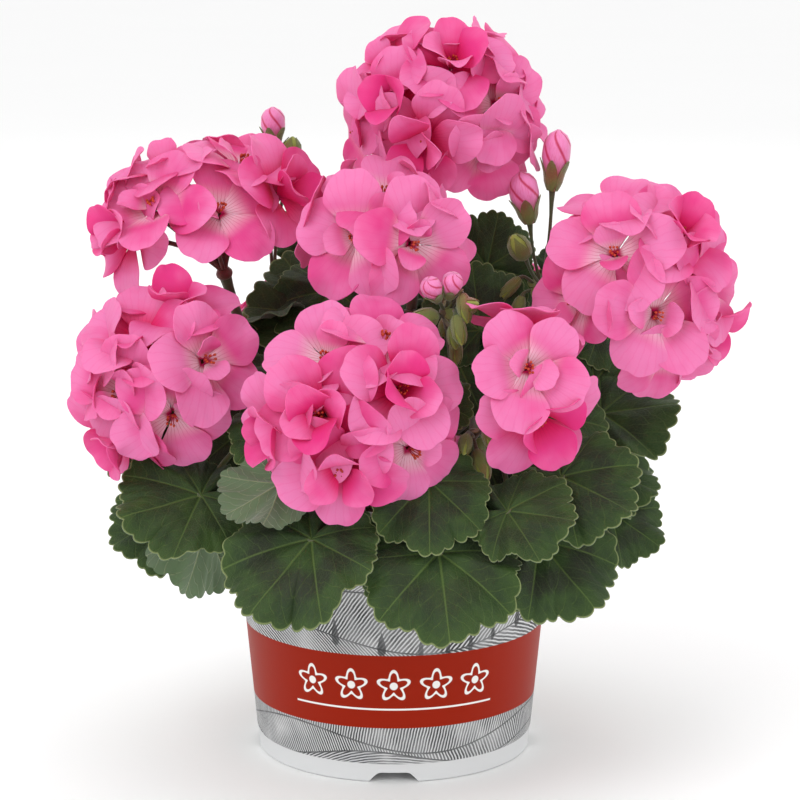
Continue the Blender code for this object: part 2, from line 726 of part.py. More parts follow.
def grow_leaf(name, design, branches, collection, thicket):
    """Grow one leaf at the first variation of its design place that touches nothing."""
    preferred, place, tip, face, size = design
    tip = Vector(tip).normalized()
    face = Vector(face)
    face = (face - tip * face.dot(tip)).normalized()
    size = size * MM
    for growth in leaf_tries(branches, preferred, place, tip, face):
        branch, hub, way, normal, path, start, leave = growth
        if any((start - other).length < NEAREST_ROOT for other in branch.roots):
            continue
        clear_path = path[:-1] + [path[-1] + leave.normalized() * ROOT_SEAT]
        if not thicket.is_clear(leaf_shape(hub, way, normal, size, clear_path, GAP)):
            continue
        shape = leaf_shape(hub, way, normal, size, path)
        if crosses_itself(shape):
            continue
        branch.roots.append(start)
        add_solid(f"leaf_{name}", shape, collection, "leaf_green")
        thicket.add(shape)
        return
    raise ValueError(f"leaf_{name} finds no room: give it another place in LEAVES")


def clear_scene():
    for obj in list(bpy.data.objects):
        bpy.data.objects.remove(obj)


def main():
    clear_scene()
    parts = new_collection("potted_geranium")
    cutters = new_collection("cutters")
    thicket = Thicket()
    thicket.add_object(make_pot(parts, cutters))
    thicket.add_object(make_soil(parts))
    thicket.add_object(watering_guide(cutters))
    stem, branches = make_stem(parts, cutters)
    thicket.add_object(stem)
    grow_heads(branches, parts, thicket)
    grow_buds(branches, parts, cutters, thicket)
    for name, design in LEAVES.items():
        grow_leaf(name, design, branches, parts, thicket)


main()
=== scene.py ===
"""Looks of a potted geranium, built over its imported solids.

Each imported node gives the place, the way and the size of the piece that stands for it: a leaf node
gives its blade's hub, tip and face and its petiole's path, and a flower head node gives its hub, its
way and its dome. The florets, petals, blades and buds are then shaped here at full detail.
"""

import math
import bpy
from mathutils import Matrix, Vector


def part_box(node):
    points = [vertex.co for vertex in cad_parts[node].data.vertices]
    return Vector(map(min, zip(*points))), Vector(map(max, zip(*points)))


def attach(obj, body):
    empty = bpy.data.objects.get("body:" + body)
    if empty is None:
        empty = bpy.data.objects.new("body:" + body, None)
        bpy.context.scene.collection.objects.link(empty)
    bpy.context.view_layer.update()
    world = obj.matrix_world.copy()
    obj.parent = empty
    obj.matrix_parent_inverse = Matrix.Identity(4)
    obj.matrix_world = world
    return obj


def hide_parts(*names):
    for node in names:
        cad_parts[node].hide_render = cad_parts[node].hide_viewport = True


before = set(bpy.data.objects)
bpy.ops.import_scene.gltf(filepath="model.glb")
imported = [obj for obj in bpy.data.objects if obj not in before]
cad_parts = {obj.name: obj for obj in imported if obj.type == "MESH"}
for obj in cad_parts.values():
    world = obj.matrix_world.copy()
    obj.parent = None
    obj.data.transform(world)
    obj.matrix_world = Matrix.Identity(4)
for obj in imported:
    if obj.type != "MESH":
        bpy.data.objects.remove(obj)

from types import SimpleNamespace

import bmesh
import bpy
import numpy as np
from bpy.props import FloatProperty, FloatVectorProperty, IntProperty, PointerProperty
from mathutils import Matrix, Vector

bl_info = {
    "name": "Potted Geranium",
    "version": (1, 0, 0),
    "blender": (4, 5, 0),
    "location": "3D View > Sidebar > Geranium",
    "description": "Builds a zonal geranium in bloom over its packed solids",
    "category": "Add Mesh",
}

MM = 0.001
UP = np.array((0.0, 0.0, 1.0))
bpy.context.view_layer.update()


def nodes_of(start):
    """The frame's nodes whose names start so, in order."""
    return sorted(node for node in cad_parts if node.startswith(start))


def linear(red, green, blue):
    """A scene-linear colour from the values 0 to 255 of a display colour."""
    values = []
    for value in (red, green, blue):
        share = value / 255
        values.append(share / 12.92 if share <= 0.04045 else ((share + 0.055) / 1.055) ** 2.4)
    return tuple(values)


# ---------------------------------------------------------------- sizes and colours


def size(name, description, default, **more):
    return FloatProperty(name=name, description=description, default=default, unit="LENGTH", **more)


def colour(name, description, red, green, blue):
    return FloatVectorProperty(
        name=name, description=description, default=linear(red, green, blue),
        subtype="COLOR", min=0, max=1,
    )


class PotProperties(bpy.types.PropertyGroup):
    steps: IntProperty(name="Steps", description="Sides of the turned pot", default=156, min=24)
    band_bottom: size("Band bottom", "Height of the printed band's lower edge", 22.5 * MM)
    band_top: size("Band top", "Height of the printed band's upper edge", 52.3 * MM)
    print_bottom: size("Print bottom", "Height where the printed sleeve ends", 7.5 * MM)
    plastic: colour("Plastic", "Moulded white plastic", 218, 219, 220)
    band: colour("Band", "Printed terracotta band", 152, 30, 1)
    ink: colour("Ink", "Grey of the printed hatching", 62, 63, 64)


class SoilProperties(bpy.types.PropertyGroup):
    crumbs: IntProperty(name="Crumbs", description="Loose crumbs on the soil", default=620, min=0)
    crumb_radius: size("Crumb radius", "Radius of a large crumb", 2.2 * MM)
    dark: colour("Dark", "Wet potting mix", 38, 27, 20)
    light: colour("Light", "Dry fibres and bark in the mix", 92, 68, 48)


class StemProperties(bpy.types.PropertyGroup):
    stalk_radius: size("Stalk radius", "Radius of a flower stalk", 2.1 * MM)
    petiole_radius: size("Petiole radius", "Radius of a leaf's petiole", 1.1 * MM)
    green: colour("Green", "Young stalks and petioles", 66, 78, 42)
    brown: colour("Brown", "Stalks that the sun has tanned", 84, 50, 34)


class LeafProperties(bpy.types.PropertyGroup):
    segments: IntProperty(name="Segments", description="Points round a blade", default=240, min=48)
    thickness: size("Thickness", "Thickness of a blade", 0.55 * MM)
    teeth: IntProperty(name="Teeth", description="Scallops round a blade", default=34, min=8)
    green: colour("Green", "Upper side of a grown leaf", 34, 52, 24)
    young: colour("Young green", "Upper side near the margin", 56, 80, 32)
    zone: colour("Zone", "Dark horseshoe zone", 34, 36, 26)
    vein: colour("Vein", "Main veins", 106, 130, 64)
    under: colour("Underside", "Pale lower side", 92, 112, 82)


class FlowerProperties(bpy.types.PropertyGroup):
    petal_length: size("Petal length", "Length of an outer petal", 25.0 * MM)
    petal_width: size("Petal width", "Width of an outer petal", 22.5 * MM)
    petal_thickness: size("Petal thickness", "Thickness of a petal", 0.3 * MM)
    pedicel_radius: size("Pedicel radius", "Radius of a floret's pedicel", 0.95 * MM)
    pink: colour("Pink", "Open petals", 242, 140, 198)
    # Painted shade: a deeper pink that stands for the shade in the petals' folds, towards the throat and
    # on the inner petals; it also tints the fan veins.
    shade_and_vein_pink: colour("Deep pink", "Petals in their folds", 232, 60, 146)
    blush: colour("Blush", "Pale base of a petal", 255, 228, 242)
    vein: colour("Vein", "Fine veins near the throat", 196, 20, 96)
    sepal: colour("Sepal", "Sepals", 96, 92, 48)
    anther: colour("Anther", "Anthers", 196, 64, 34)


class StageProperties(bpy.types.PropertyGroup):
    camera_height: size("Camera height", "Height of the camera over the floor", 360 * MM)
    camera_distance: size("Camera distance", "How far the camera stands in front of the pot", 1100 * MM)
    camera_side: size("Camera side", "How far right of the pot the camera stands", 2.4 * MM)
    camera_pitch: FloatProperty(
        name="Pitch", description="How far the camera looks down", default=math.radians(11.3),
        subtype="ANGLE",
    )
    lens: FloatProperty(name="Lens", description="Focal length in millimetres", default=127.3)
    backdrop: colour("Backdrop", "Plain pale floor", 250, 250, 250)


# ---------------------------------------------------------------- geometry helpers


def unit(vector):
    return vector / np.linalg.norm(vector)


def smooth(values):
    """Smooth step from 0 to 1, clamped outside that range."""
    t = np.clip(values, 0, 1)
    return t * t * (3 - 2 * t)


def turned_about(vector, axis, angle):
    """A vector turned about a unit axis."""
    kept = axis * np.dot(axis, vector)
    return kept + (vector - kept) * math.cos(angle) + np.cross(axis, vector) * math.sin(angle)


def across(way, preferred=UP):
    """Two unit vectors square to a way and to each other; the first lies level if it can."""
    if abs(np.dot(way, preferred)) > 0.98:
        preferred = np.array((0.0, 1.0, 0.0))
    side = unit(np.cross(way, preferred))
    return side, np.cross(side, way)


def eased_path(points, count):
    """A smooth curve of count points through the given points."""
    points = np.asarray(points, float)
    padded = np.vstack((2 * points[0] - points[1], points, 2 * points[-1] - points[-2]))
    found = []
    for place in np.linspace(0, len(points) - 1, count):
        index = min(int(place), len(points) - 2)
        t = place - index
        a, b, c, d = padded[index : index + 4]
        bend = (c - a) * t + (2 * a - 5 * b + 4 * c - d) * t**2 + (3 * b - a - 3 * c + d) * t**3
        found.append(b + bend / 2)
    return np.array(found)


def spoke(way, angle):
    """The way square to a given one, at an angle round it."""
    side, up = across(way)
    return side * math.cos(angle) + up * math.sin(angle)


def mm(*values):
    """Millimetres as an array in metres."""
    return np.array(values) * MM


def graded(count, shares, values):
    """Values at even steps along a length, read off the line through the given ones."""
    return np.interp(np.linspace(0, 1, count), shares, values)


def patch(rows, columns):
    """Two grids: 0 to 1 down the rows and -1 to 1 over the columns."""
    return np.meshgrid(np.linspace(0, 1, rows), np.linspace(-1, 1, columns), indexing="ij")


def bow(start, start_way, end, end_way, count, pull=0.4):
    """Points along a curve that leaves start one way and arrives at end another way."""
    reach = np.linalg.norm(end - start) * pull
    first = start + unit(start_way) * reach
    second = end - unit(end_way) * reach
    t = np.linspace(0, 1, count)[:, None]
    s = 1 - t
    return start * s**3 + first * 3 * s * s * t + second * 3 * s * t * t + end * t**3


class Shape:
    """The points, faces and shader values of one piece, gathered part by part."""

    def __init__(self):
        self.points = []
        self.places = []
        self.faces = []
        self.finishes = []
        self.count = 0

    def add(self, points, faces, places, finish=0):
        """places gives each point three values that the piece's finishes read."""
        points = np.asarray(points, float).reshape(-1, 3)
        places = np.broadcast_to(np.asarray(places, float), points.shape)
        self.points.append(points)
        self.places.append(places)
        self.faces.extend((np.asarray(face) + self.count).tolist() for face in faces)
        self.finishes.extend([finish] * len(faces))
        self.count += len(points)

    def build(self, name, finishes, slot, *nodes):
        """The finished object. It rides on the plant and stands for the nodes, if any are given."""
        mesh = bpy.data.meshes.new(name)
        mesh.from_pydata(np.vstack(self.points).tolist(), [], self.faces)
        attribute = mesh.attributes.new("place", "FLOAT_VECTOR", "POINT")
        attribute.data.foreach_set("vector", np.vstack(self.places).astype(np.float32).ravel())
        for finish in finishes:
            mesh.materials.append(finish)
        mesh.polygons.foreach_set("material_index", self.finishes)
        outward(mesh)
        return finish_piece(name, mesh, slot, *nodes)


def outward(mesh):
    """Turn every closed part's faces outward."""
    bm = bmesh.new()
    bm.from_mesh(mesh)
    bmesh.ops.recalc_face_normals(bm, faces=bm.faces)
    bm.to_mesh(mesh)
    bm.free()


def finish_piece(name, mesh, slot, *nodes, sharp=50):
    """Link a mesh as a smooth-shaded piece that rides on the plant."""
    mesh.shade_smooth()
    mesh.set_sharp_from_angle(angle=math.radians(sharp))
    piece = bpy.data.objects.new(name, mesh)
    bpy.context.scene.collection.objects.link(piece)
    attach(piece, "root")
    if nodes:
        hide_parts(*nodes)
    return piece


def strip_faces(rows, columns, closed):
    """Quads between neighbouring rows of a grid, wrapped round if the rows are closed."""
    steps = columns if closed else columns - 1
    row, column = np.meshgrid(np.arange(rows - 1), np.arange(steps), indexing="ij")
    here = (row * columns + column).ravel()
    beside = (row * columns + (column + 1) % columns).ravel()
    return np.stack((here, beside, beside + columns, here + columns), 1)


def add_tube(shape, path, radii, sides, seed=0.0, finish=0):
    """A round closed tube. Its places are the share along it, the share round it and the seed."""
    path = np.asarray(path, float)
    ways = np.gradient(path, axis=0)
    ways /= np.linalg.norm(ways, axis=1)[:, None]
    side = across(ways[0])[0]
    angles = np.linspace(0, 2 * math.pi, sides, endpoint=False)
    rings = []
    for centre, way, radius in zip(path, ways, np.broadcast_to(radii, len(path))):
        side = unit(side - way * np.dot(side, way))
        other = np.cross(way, side)
        rings.append(centre + radius * (np.outer(np.cos(angles), side) + np.outer(np.sin(angles), other)))
    along, around = np.meshgrid(np.linspace(0, 1, len(path)), angles / (2 * math.pi), indexing="ij")
    faces = list(strip_faces(len(path), sides, True))
    faces.append(np.arange(sides)[::-1])
    faces.append(np.arange(sides) + (len(path) - 1) * sides)
    places = np.stack((along, around, np.full_like(along, seed)), 2).reshape(-1, 3)
    shape.add(rings, faces, places, finish)


def add_sheet(shape, grid, thickness, places, finish=0):
    """A thin closed sheet from a grid of points on its upper side."""
    rows, columns = grid.shape[:2]
    normals = np.cross(np.gradient(grid, axis=0), np.gradient(grid, axis=1))
    normals /= np.linalg.norm(normals, axis=2)[:, :, None] + 1e-12
    lower = grid - normals * thickness
    loop = np.concatenate((grid, lower[:, ::-1]), axis=1)
    values = np.concatenate((places, places[:, ::-1]), axis=1)
    around = 2 * columns
    faces = list(strip_faces(rows, around, True))
    first = np.arange(columns - 1)
    for base in (0, (rows - 1) * around):
        faces.extend(np.stack((first, first + 1, around - 2 - first, around - 1 - first), 1) + base)
    shape.add(loop, faces, values.reshape(-1, 3), finish)


def ball_faces(rings, segments):
    """Faces of a ball whose points are pole, rings, pole."""
    faces = [(0, 1 + (i + 1) % segments, 1 + i) for i in range(segments)]
    faces.extend(strip_faces(rings, segments, True) + 1)
    last = 1 + rings * segments
    base = last - segments
    faces.extend((last, base + i, base + (i + 1) % segments) for i in range(segments))
    return faces


def add_ball(shape, centre, radii, axes, rings=4, segments=8, seed=0.0, finish=0):
    """An egg on its axes. Its places are the share from pole to pole, the share round it and the seed."""
    levels = np.linspace(0, math.pi, rings + 2)[1:-1]
    angles = np.linspace(0, 2 * math.pi, segments, endpoint=False)
    level, angle = np.meshgrid(levels, angles, indexing="ij")
    local = np.stack((np.sin(level) * np.cos(angle), np.sin(level) * np.sin(angle), -np.cos(level)), 2)
    local = np.vstack(((0, 0, -1), local.reshape(-1, 3), (0, 0, 1)))
    places = np.vstack((
        (0, 0, seed),
        np.stack((level / math.pi, angle / (2 * math.pi), np.full_like(level, seed)), 2).reshape(-1, 3),
        (1, 0, seed),
    ))
    shape.add(centre + (local * radii) @ np.array(axes), ball_faces(rings, segments), places, finish)


# ---------------------------------------------------------------- reading the frame


FAN = 12
BUD_SIDES = 6


class Welded:
    """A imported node's mesh with the points that coincide made one, and who is next to whom."""

    def __init__(self, node):
        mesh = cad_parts[node].data
        corners = np.empty(len(mesh.vertices) * 3, np.float32)
        mesh.vertices.foreach_get("co", corners)
        corners = corners.reshape(-1, 3)
        keys = np.round(corners / (0.001 * MM)).astype(np.int64)
        _, first, merged = np.unique(keys, axis=0, return_index=True, return_inverse=True)
        merged = merged.reshape(-1)
        self.points = corners[first].astype(float)
        self.beside = [set() for _ in first]
        for polygon in mesh.polygons:
            face = {int(merged[i]) for i in polygon.vertices}
            for i in face:
                self.beside[i] |= face - {i}

    def poles(self):
        """The middles of round fans: the points where twelve edges meet."""
        return [i for i, near in enumerate(self.beside) if len(near) == FAN]

    def rings_from(self, start):
        """Rings of points, each one step further from the start."""
        seen = set(start)
        rings = [sorted(seen)]
        while True:
            ring = {near for i in rings[-1] for near in self.beside[i]} - seen
            if not ring:
                return rings
            seen |= ring
            rings.append(sorted(ring))

    def centre(self, ring):
        return self.points[ring].mean(0)

    def end_ring(self, place, reach):
        """The points within reach of a place."""
        return [int(i) for i in np.flatnonzero(np.linalg.norm(self.points - place, axis=1) < reach)]

    def far_ends(self, origin):
        """Groups of points that lie further from the origin than all the points around them."""
        far = np.linalg.norm(self.points - origin, axis=1)
        groups = []
        for i in np.argsort(-far):
            around = set(self.beside[i])
            around |= {k for j in around for k in self.beside[j]}
            if far[i] < 8 * MM or any(far[j] > far[i] + 0.4 * MM for j in around):
                continue
            if all(np.linalg.norm(self.points[i] - centre) > 4 * MM for centre, _ in groups):
                ring = self.end_ring(self.points[i], 2.1 * MM)
                groups.append((self.centre(ring), ring))
        return groups


class LeafFrame:
    """Where a leaf's hub is, where its tip and its upper side point, its size and its petiole's path."""

    def __init__(self, node):
        welded = Welded(node)
        points = welded.points
        spread = {}
        for pole in welded.poles():
            near = points[sorted(welded.beside[pole])]
            spread[pole] = np.linalg.norm(near - points[pole], axis=1).mean()
        hub_pole = max(spread, key=spread.get)
        rings = welded.rings_from([hub_pole])
        upper = points[rings[2]]
        lower = points[rings[3]]
        nearest = [lower[np.argmin(np.linalg.norm(lower - point, axis=1))] for point in upper]
        self.face = unit((upper - nearest).mean(0))
        reach = upper - points[hub_pole]
        reach = reach - np.outer(reach @ self.face, self.face)
        notch = reach[np.argmin(np.linalg.norm(reach, axis=1))]
        self.tip = -unit(notch)
        self.side = np.cross(self.tip, self.face)
        self.size = (reach @ self.tip).max()
        self.hub = points[hub_pole] - self.face * np.linalg.norm(upper - nearest, axis=1).mean() / 2
        self.petiole = [welded.centre(ring) for ring in rings[6:]]


class HeadFrame:
    """A flower head's hub, its way, its height and its half widths across and up."""

    def __init__(self, name):
        welded = Welded("flower_head_" + name)
        stalk = Welded("flower_stalk_" + name)
        foot = stalk.points.mean(0)
        top = max(welded.poles(), key=lambda i: np.linalg.norm(welded.points[i] - foot))
        self.hub = welded.centre(welded.rings_from([top])[-1])
        self.way = welded.points[top] - self.hub
        self.height = np.linalg.norm(self.way)
        self.way = self.way / self.height
        self.side, self.up = across(self.way)
        offsets = welded.points - self.hub
        self.wide = np.abs(offsets @ self.side).max()
        self.tall = np.abs(offsets @ self.up).max()
        near = np.argsort(np.linalg.norm(stalk.points - self.hub, axis=1))[:8]
        self.stalk = [stalk.centre(ring) for ring in stalk.rings_from([int(i) for i in near])]

    def on_dome(self, direction, depth):
        """The point at a share of the dome's radius, along a direction given as side, up and way."""
        middle = self.hub + self.way * self.height * 0.5
        side, up, way = direction
        reach = self.side * side * self.wide + self.up * up * self.tall
        return middle + (reach + self.way * way * self.height * 0.5) * depth


# ---------------------------------------------------------------- finishes


def sum_of(operation, reflected=False):
    """A method that adds a Math node for two terms, swapped round if it is the reflected one."""

    def method(value, other):
        terms = (other, value) if reflected else (value, other)
        return value.math(operation, *terms)

    return method


class Value:
    """One output of a node. Sums on it add Math nodes to the same finish."""

    def __init__(self, finish, socket):
        self.finish = finish
        self.socket = socket

    def math(self, operation, *terms):
        return self.finish.node("ShaderNodeMath", {"operation": operation}, dict(enumerate(terms)))

    __add__ = sum_of("ADD")
    __radd__ = sum_of("ADD", reflected=True)
    __sub__ = sum_of("SUBTRACT")
    __rsub__ = sum_of("SUBTRACT", reflected=True)
    __mul__ = sum_of("MULTIPLY")
    __rmul__ = sum_of("MULTIPLY", reflected=True)
    __truediv__ = sum_of("DIVIDE")
    __pow__ = sum_of("POWER")
    __mod__ = sum_of("FLOORED_MODULO")
    __lt__ = sum_of("LESS_THAN")
    __gt__ = sum_of("GREATER_THAN")
    angle_to = sum_of("ARCTAN2")
    at_least = sum_of("MAXIMUM")

    def __abs__(self):
        return self.math("ABSOLUTE", self)

    def sine(self):
        return self.math("SINE", self)

    def cosine(self):
        return self.math("COSINE", self)

    def ramp(self, low, high):
        """A smooth step from 0 at low to 1 at high."""
        settings = {"interpolation_type": "SMOOTHSTEP"}
        inputs = {"Value": self, "From Min": low, "From Max": high}
        if low > high:
            inputs.update({"From Min": high, "From Max": low, "To Min": 1.0, "To Max": 0.0})
        return self.finish.node("ShaderNodeMapRange", settings, inputs)


class Finish:
    """A material and the nodes of its surface."""

    def __init__(self, name):
        self.material = bpy.data.materials.new(name)
        self.material.use_nodes = True
        self.tree = self.material.node_tree
        self.tree.nodes.clear()

    def node(self, kind, settings=None, inputs=None, output=0):
        """Add a node: its type, its settings, then the values or links of its sockets."""
        node = self.tree.nodes.new(kind)
        for name, setting in (settings or {}).items():
            setattr(node, name, setting)
        for name, value in (inputs or {}).items():
            if isinstance(value, Value):
                self.tree.links.new(value.socket, node.inputs[name])
            else:
                node.inputs[name].default_value = value
        return Value(self, node.outputs[output])

    def place(self):
        """The three shader values that each point of the piece carries."""
        settings = {"attribute_type": "GEOMETRY", "attribute_name": "place"}
        vector = self.node("ShaderNodeAttribute", settings, output="Vector")
        return self.split(vector)

    def object_place(self):
        return self.node("ShaderNodeTexCoord", output="Object")

    def split(self, vector):
        parts = self.node("ShaderNodeSeparateXYZ", {}, {0: vector})
        outputs = parts.socket.node.outputs
        return [Value(self, outputs[i]) for i in range(3)]

    def join(self, x, y, z=0.0):
        return self.node("ShaderNodeCombineXYZ", {}, {0: x, 1: y, 2: z})

    def noise(self, vector, scale, detail=3.0, roughness=0.55):
        inputs = {"Vector": vector, "Scale": scale, "Detail": detail, "Roughness": roughness}
        return self.node("ShaderNodeTexNoise", {}, inputs)

    def cells(self, vector, scale, feature="F1"):
        return self.node("ShaderNodeTexVoronoi", {"feature": feature}, {"Vector": vector, "Scale": scale})

    def mix(self, factor, first, second):
        """A colour between two colours."""
        first, second = [(*c, 1.0) if isinstance(c, tuple) else c for c in (first, second)]
        inputs = {0: factor, 6: first, 7: second}
        return self.node("ShaderNodeMix", {"data_type": "RGBA"}, inputs, output=2)

    def mix_value(self, factor, first, second):
        """A number between two numbers."""
        return self.node("ShaderNodeMix", {"data_type": "FLOAT"}, {0: factor, 2: first, 3: second})

    def bump(self, height, distance, strength=1.0):
        inputs = {"Height": height, "Distance": distance, "Strength": strength}
        return self.node("ShaderNodeBump", {}, inputs)

    def surface(self, inputs, glow=None, glow_share=0.0):
        """The shader: Principled, with a share of light let through in the colour glow if given."""
        shader = self.node("ShaderNodeBsdfPrincipled", {}, inputs)
        if glow:
            behind = self.node("ShaderNodeBsdfTranslucent", {}, {"Color": (*glow, 1.0)})
            shader = self.node("ShaderNodeMixShader", {}, {0: glow_share, 1: shader, 2: behind})
        output = self.tree.nodes.new("ShaderNodeOutputMaterial")
        self.tree.links.new(shader.socket, output.inputs["Surface"])
        return self.material


def petal_finish(flower):
    """Velvety pink with painted shade: deeper pink towards the throat and on the inner petals, and a
    strong pink painted at the base of the throats that are not pale, for the shade in their folds; with
    fan veins and either a pale or a shaded throat.
    """
    finish = Finish("petal_pink")
    along, sideways, seed = finish.place()
    where = finish.object_place()
    own = seed % 1.0
    pale_throat = seed < 1.0
    inner = seed > 2.0
    cloud = finish.noise(where, 75.0, 2.0)
    wobble = finish.noise(where, 420.0, 2.0)
    fan = (sideways / (along + 0.14)) * 10.0
    lines = abs((fan + wobble * 1.6).sine()).ramp(0.4, 0.05)
    # Painted shade: the colour runs deeper towards the throat and on the cupped inner petals; the share
    # of each petal and the cloud vary at random.
    tone_and_shade = along * 0.55 + own * 0.5 + (cloud - 0.5) * 1.0 - inner * 0.3
    body = finish.mix(tone_and_shade.ramp(0.05, 0.9), tuple(flower.shade_and_vein_pink), tuple(flower.pink))
    body = finish.mix(lines * 0.16, body, tuple(flower.shade_and_vein_pink))
    blush = finish.mix(along.ramp(0.5, 0.1) * pale_throat * 0.95, body, tuple(flower.blush))
    # Painted shade: where the throat is not pale, the petal's base turns a strong pink that stands for
    # the shade and bounced light in the cupped floret.
    throat_shade = along.ramp(0.62, 0.12) * (1.0 - pale_throat) * 0.95
    throat_shaded = finish.mix(throat_shade, blush, linear(226, 14, 96))
    veined = finish.mix(lines * along.ramp(0.5, 0.12) * 0.8, throat_shaded, tuple(flower.vein))
    throat = finish.mix(along.ramp(0.12, 0.03), veined, tuple(flower.vein))
    streaks = abs((fan * 2.5 + wobble).sine())
    height = streaks * 0.5 + finish.noise(where, 900.0, 2.0) * 0.5
    inputs = {
        "Base Color": throat,
        "Roughness": 0.5 + cloud * 0.15,
        "Specular IOR Level": 0.25,
        "Sheen Weight": 0.12,
        "Sheen Roughness": 0.4,
        "Normal": finish.bump(height, 0.12 * MM, 0.35),
    }
    return finish.surface(inputs, glow=linear(255, 76, 172), glow_share=0.3)


def stalk_finish(name, green, brown, share_brown, seed_shift=0.0):
    """A soft stem: green that turns brown in patches, ribbed along its length and finely hairy."""
    finish = Finish(name)
    around = finish.place()[1]
    where = finish.object_place()
    patches = finish.noise(where, 60.0, 3.0)
    mixed = finish.mix((patches + share_brown - 0.5).ramp(0.35, 0.65), green, brown)
    ribs = abs((around * 25.0 + seed_shift).sine())
    hairs = finish.noise(where, 1600.0, 2.0)
    pale = tuple(min(1.0, value * 1.9) for value in green)
    colour = finish.mix(hairs.ramp(0.52, 0.75) * 0.35, mixed, pale)
    inputs = {
        "Base Color": colour,
        "Roughness": 0.5 + hairs * 0.25,
        "Sheen Weight": 0.35,
        "Sheen Roughness": 0.5,
        "Normal": finish.bump(ribs * 0.4 + hairs, 0.25 * MM, 0.5),
    }
    return finish.surface(inputs)


def vein_lines(finish, x, y):
    """The reach from the hub, and masks of the seven main veins and of the veins between them."""
    radius = (x * x + y * y) ** 0.5
    angle = y.angle_to(x)
    eighth = math.pi / 4
    sector = ((angle + eighth / 2) % eighth) - eighth / 2
    away = abs(radius * sector.sine())
    length = radius * sector.cosine()
    main_width = 0.018 - length * 0.011
    main = (away / main_width).ramp(1.3, 0.4) * (abs(angle) < math.pi * 0.9)
    wobble = finish.noise(finish.join(x, y), 5.0, 2.0) * 0.05
    steps = ((length - away * 1.15 + wobble) * 6.5) % 1.0
    branch = abs(steps - 0.5).ramp(0.07, 0.015) * radius.ramp(0.12, 0.3)
    return radius, main, branch


def blade_finish(leaf):
    """The upper side of a leaf: green, zoned, with light veins and a net between them."""
    finish = Finish("leaf_upper")
    x, y, seed = finish.place()
    where = finish.object_place()
    radius, main, branch = vein_lines(finish, x, y)
    flat = finish.join(x, y, seed)
    cloud = finish.noise(flat, 3.2, 4.0)
    band = radius + (cloud - 0.5) * 0.22
    zone = band.ramp(0.34, 0.48) * band.ramp(0.78, 0.6)
    net = finish.cells(flat, 24.0, "DISTANCE_TO_EDGE").ramp(0.09, 0.01)
    base = finish.mix(cloud.ramp(0.3, 0.75), tuple(leaf.green), tuple(leaf.young))
    base = finish.mix((seed * 7.3) % 1.0 * 0.45, base, linear(44, 66, 34))
    outer = finish.mix(band.ramp(0.78, 1.0) * 0.6, base, tuple(leaf.young))
    zoned = finish.mix(zone * ((seed * 3.7) % 1.0 * 0.5 + 0.3), outer, tuple(leaf.zone))
    netted = finish.mix(net * 0.1, zoned, tuple(leaf.vein))
    lined = finish.mix((main * 0.42).at_least(branch * 0.17), netted, tuple(leaf.vein))
    edge = finish.mix(radius.ramp(0.975, 0.995) * 0.5, lined, linear(168, 178, 120))
    down = finish.noise(where, 1500.0, 2.0)
    height = 0.6 - main * 0.5 - branch * 0.4 - net * 0.3 + down * 0.16
    inputs = {
        "Base Color": edge,
        "Roughness": 0.5 + down * 0.2,
        "Specular IOR Level": 0.3,
        "Sheen Weight": 0.05,
        "Sheen Roughness": 0.4,
        "Normal": finish.bump(height, 0.45 * MM, 0.7),
    }
    return finish.surface(inputs, glow=linear(90, 130, 40), glow_share=0.08)


def under_finish(leaf):
    """The lower side of a leaf: paler and greyer, with raised veins."""
    finish = Finish("leaf_under")
    x, y, seed = finish.place()
    where = finish.object_place()
    _, main, branch = vein_lines(finish, x, y)
    cloud = finish.noise(finish.join(x, y, seed), 4.0, 3.0)
    base = finish.mix(cloud.ramp(0.3, 0.7), tuple(leaf.under), linear(92, 116, 78))
    lined = finish.mix(main.at_least(branch * 0.6) * 0.6, base, linear(158, 170, 122))
    down = finish.noise(where, 1500.0, 2.0)
    inputs = {
        "Base Color": lined,
        "Roughness": 0.7,
        "Sheen Weight": 0.4,
        "Sheen Roughness": 0.5,
        "Normal": finish.bump(main * 0.7 + branch * 0.5 + down * 0.2, 0.5 * MM, 0.8),
    }
    return finish.surface(inputs, glow=linear(110, 140, 60), glow_share=0.1)


def plain_finish(name, colour, roughness, variation=0.25, scale=300.0, sheen=0.0):
    """A soft small part in one colour that varies a little, with a fine grain."""
    finish = Finish(name)
    where = finish.object_place()
    cloud = finish.noise(where, scale, 3.0)
    dark = tuple(value * (1 - variation) for value in colour)
    inputs = {
        "Base Color": finish.mix(cloud.ramp(0.3, 0.7), dark, colour),
        "Roughness": roughness,
        "Sheen Weight": sheen,
        "Normal": finish.bump(cloud, 0.2 * MM, 0.4),
    }
    return finish.surface(inputs)


def bud_finish(flower):
    """A furled bud: pink petals wrapped round each other, greener towards the base."""
    finish = Finish("bud_pink")
    along, around, seed = finish.place()
    twist = abs(((around * 2.0 + along * 0.9) * math.pi * 2.5).sine())
    streak = finish.noise(finish.join(along * 2.0, around * 30.0, seed), 4.0, 2.0)
    rosy = finish.mix(twist.ramp(0.05, 0.5), linear(196, 30, 84), tuple(flower.pink))
    rosy = finish.mix(streak.ramp(0.45, 0.7) * 0.5, rosy, linear(226, 74, 126))
    inputs = {
        "Base Color": finish.mix(along.ramp(0.55, 0.2), rosy, linear(170, 96, 84)),
        "Roughness": 0.5,
        "Sheen Weight": 0.3,
        "Normal": finish.bump(twist + streak * 0.5, 0.3 * MM, 0.6),
    }
    return finish.surface(inputs, glow=linear(250, 90, 150), glow_share=0.12)


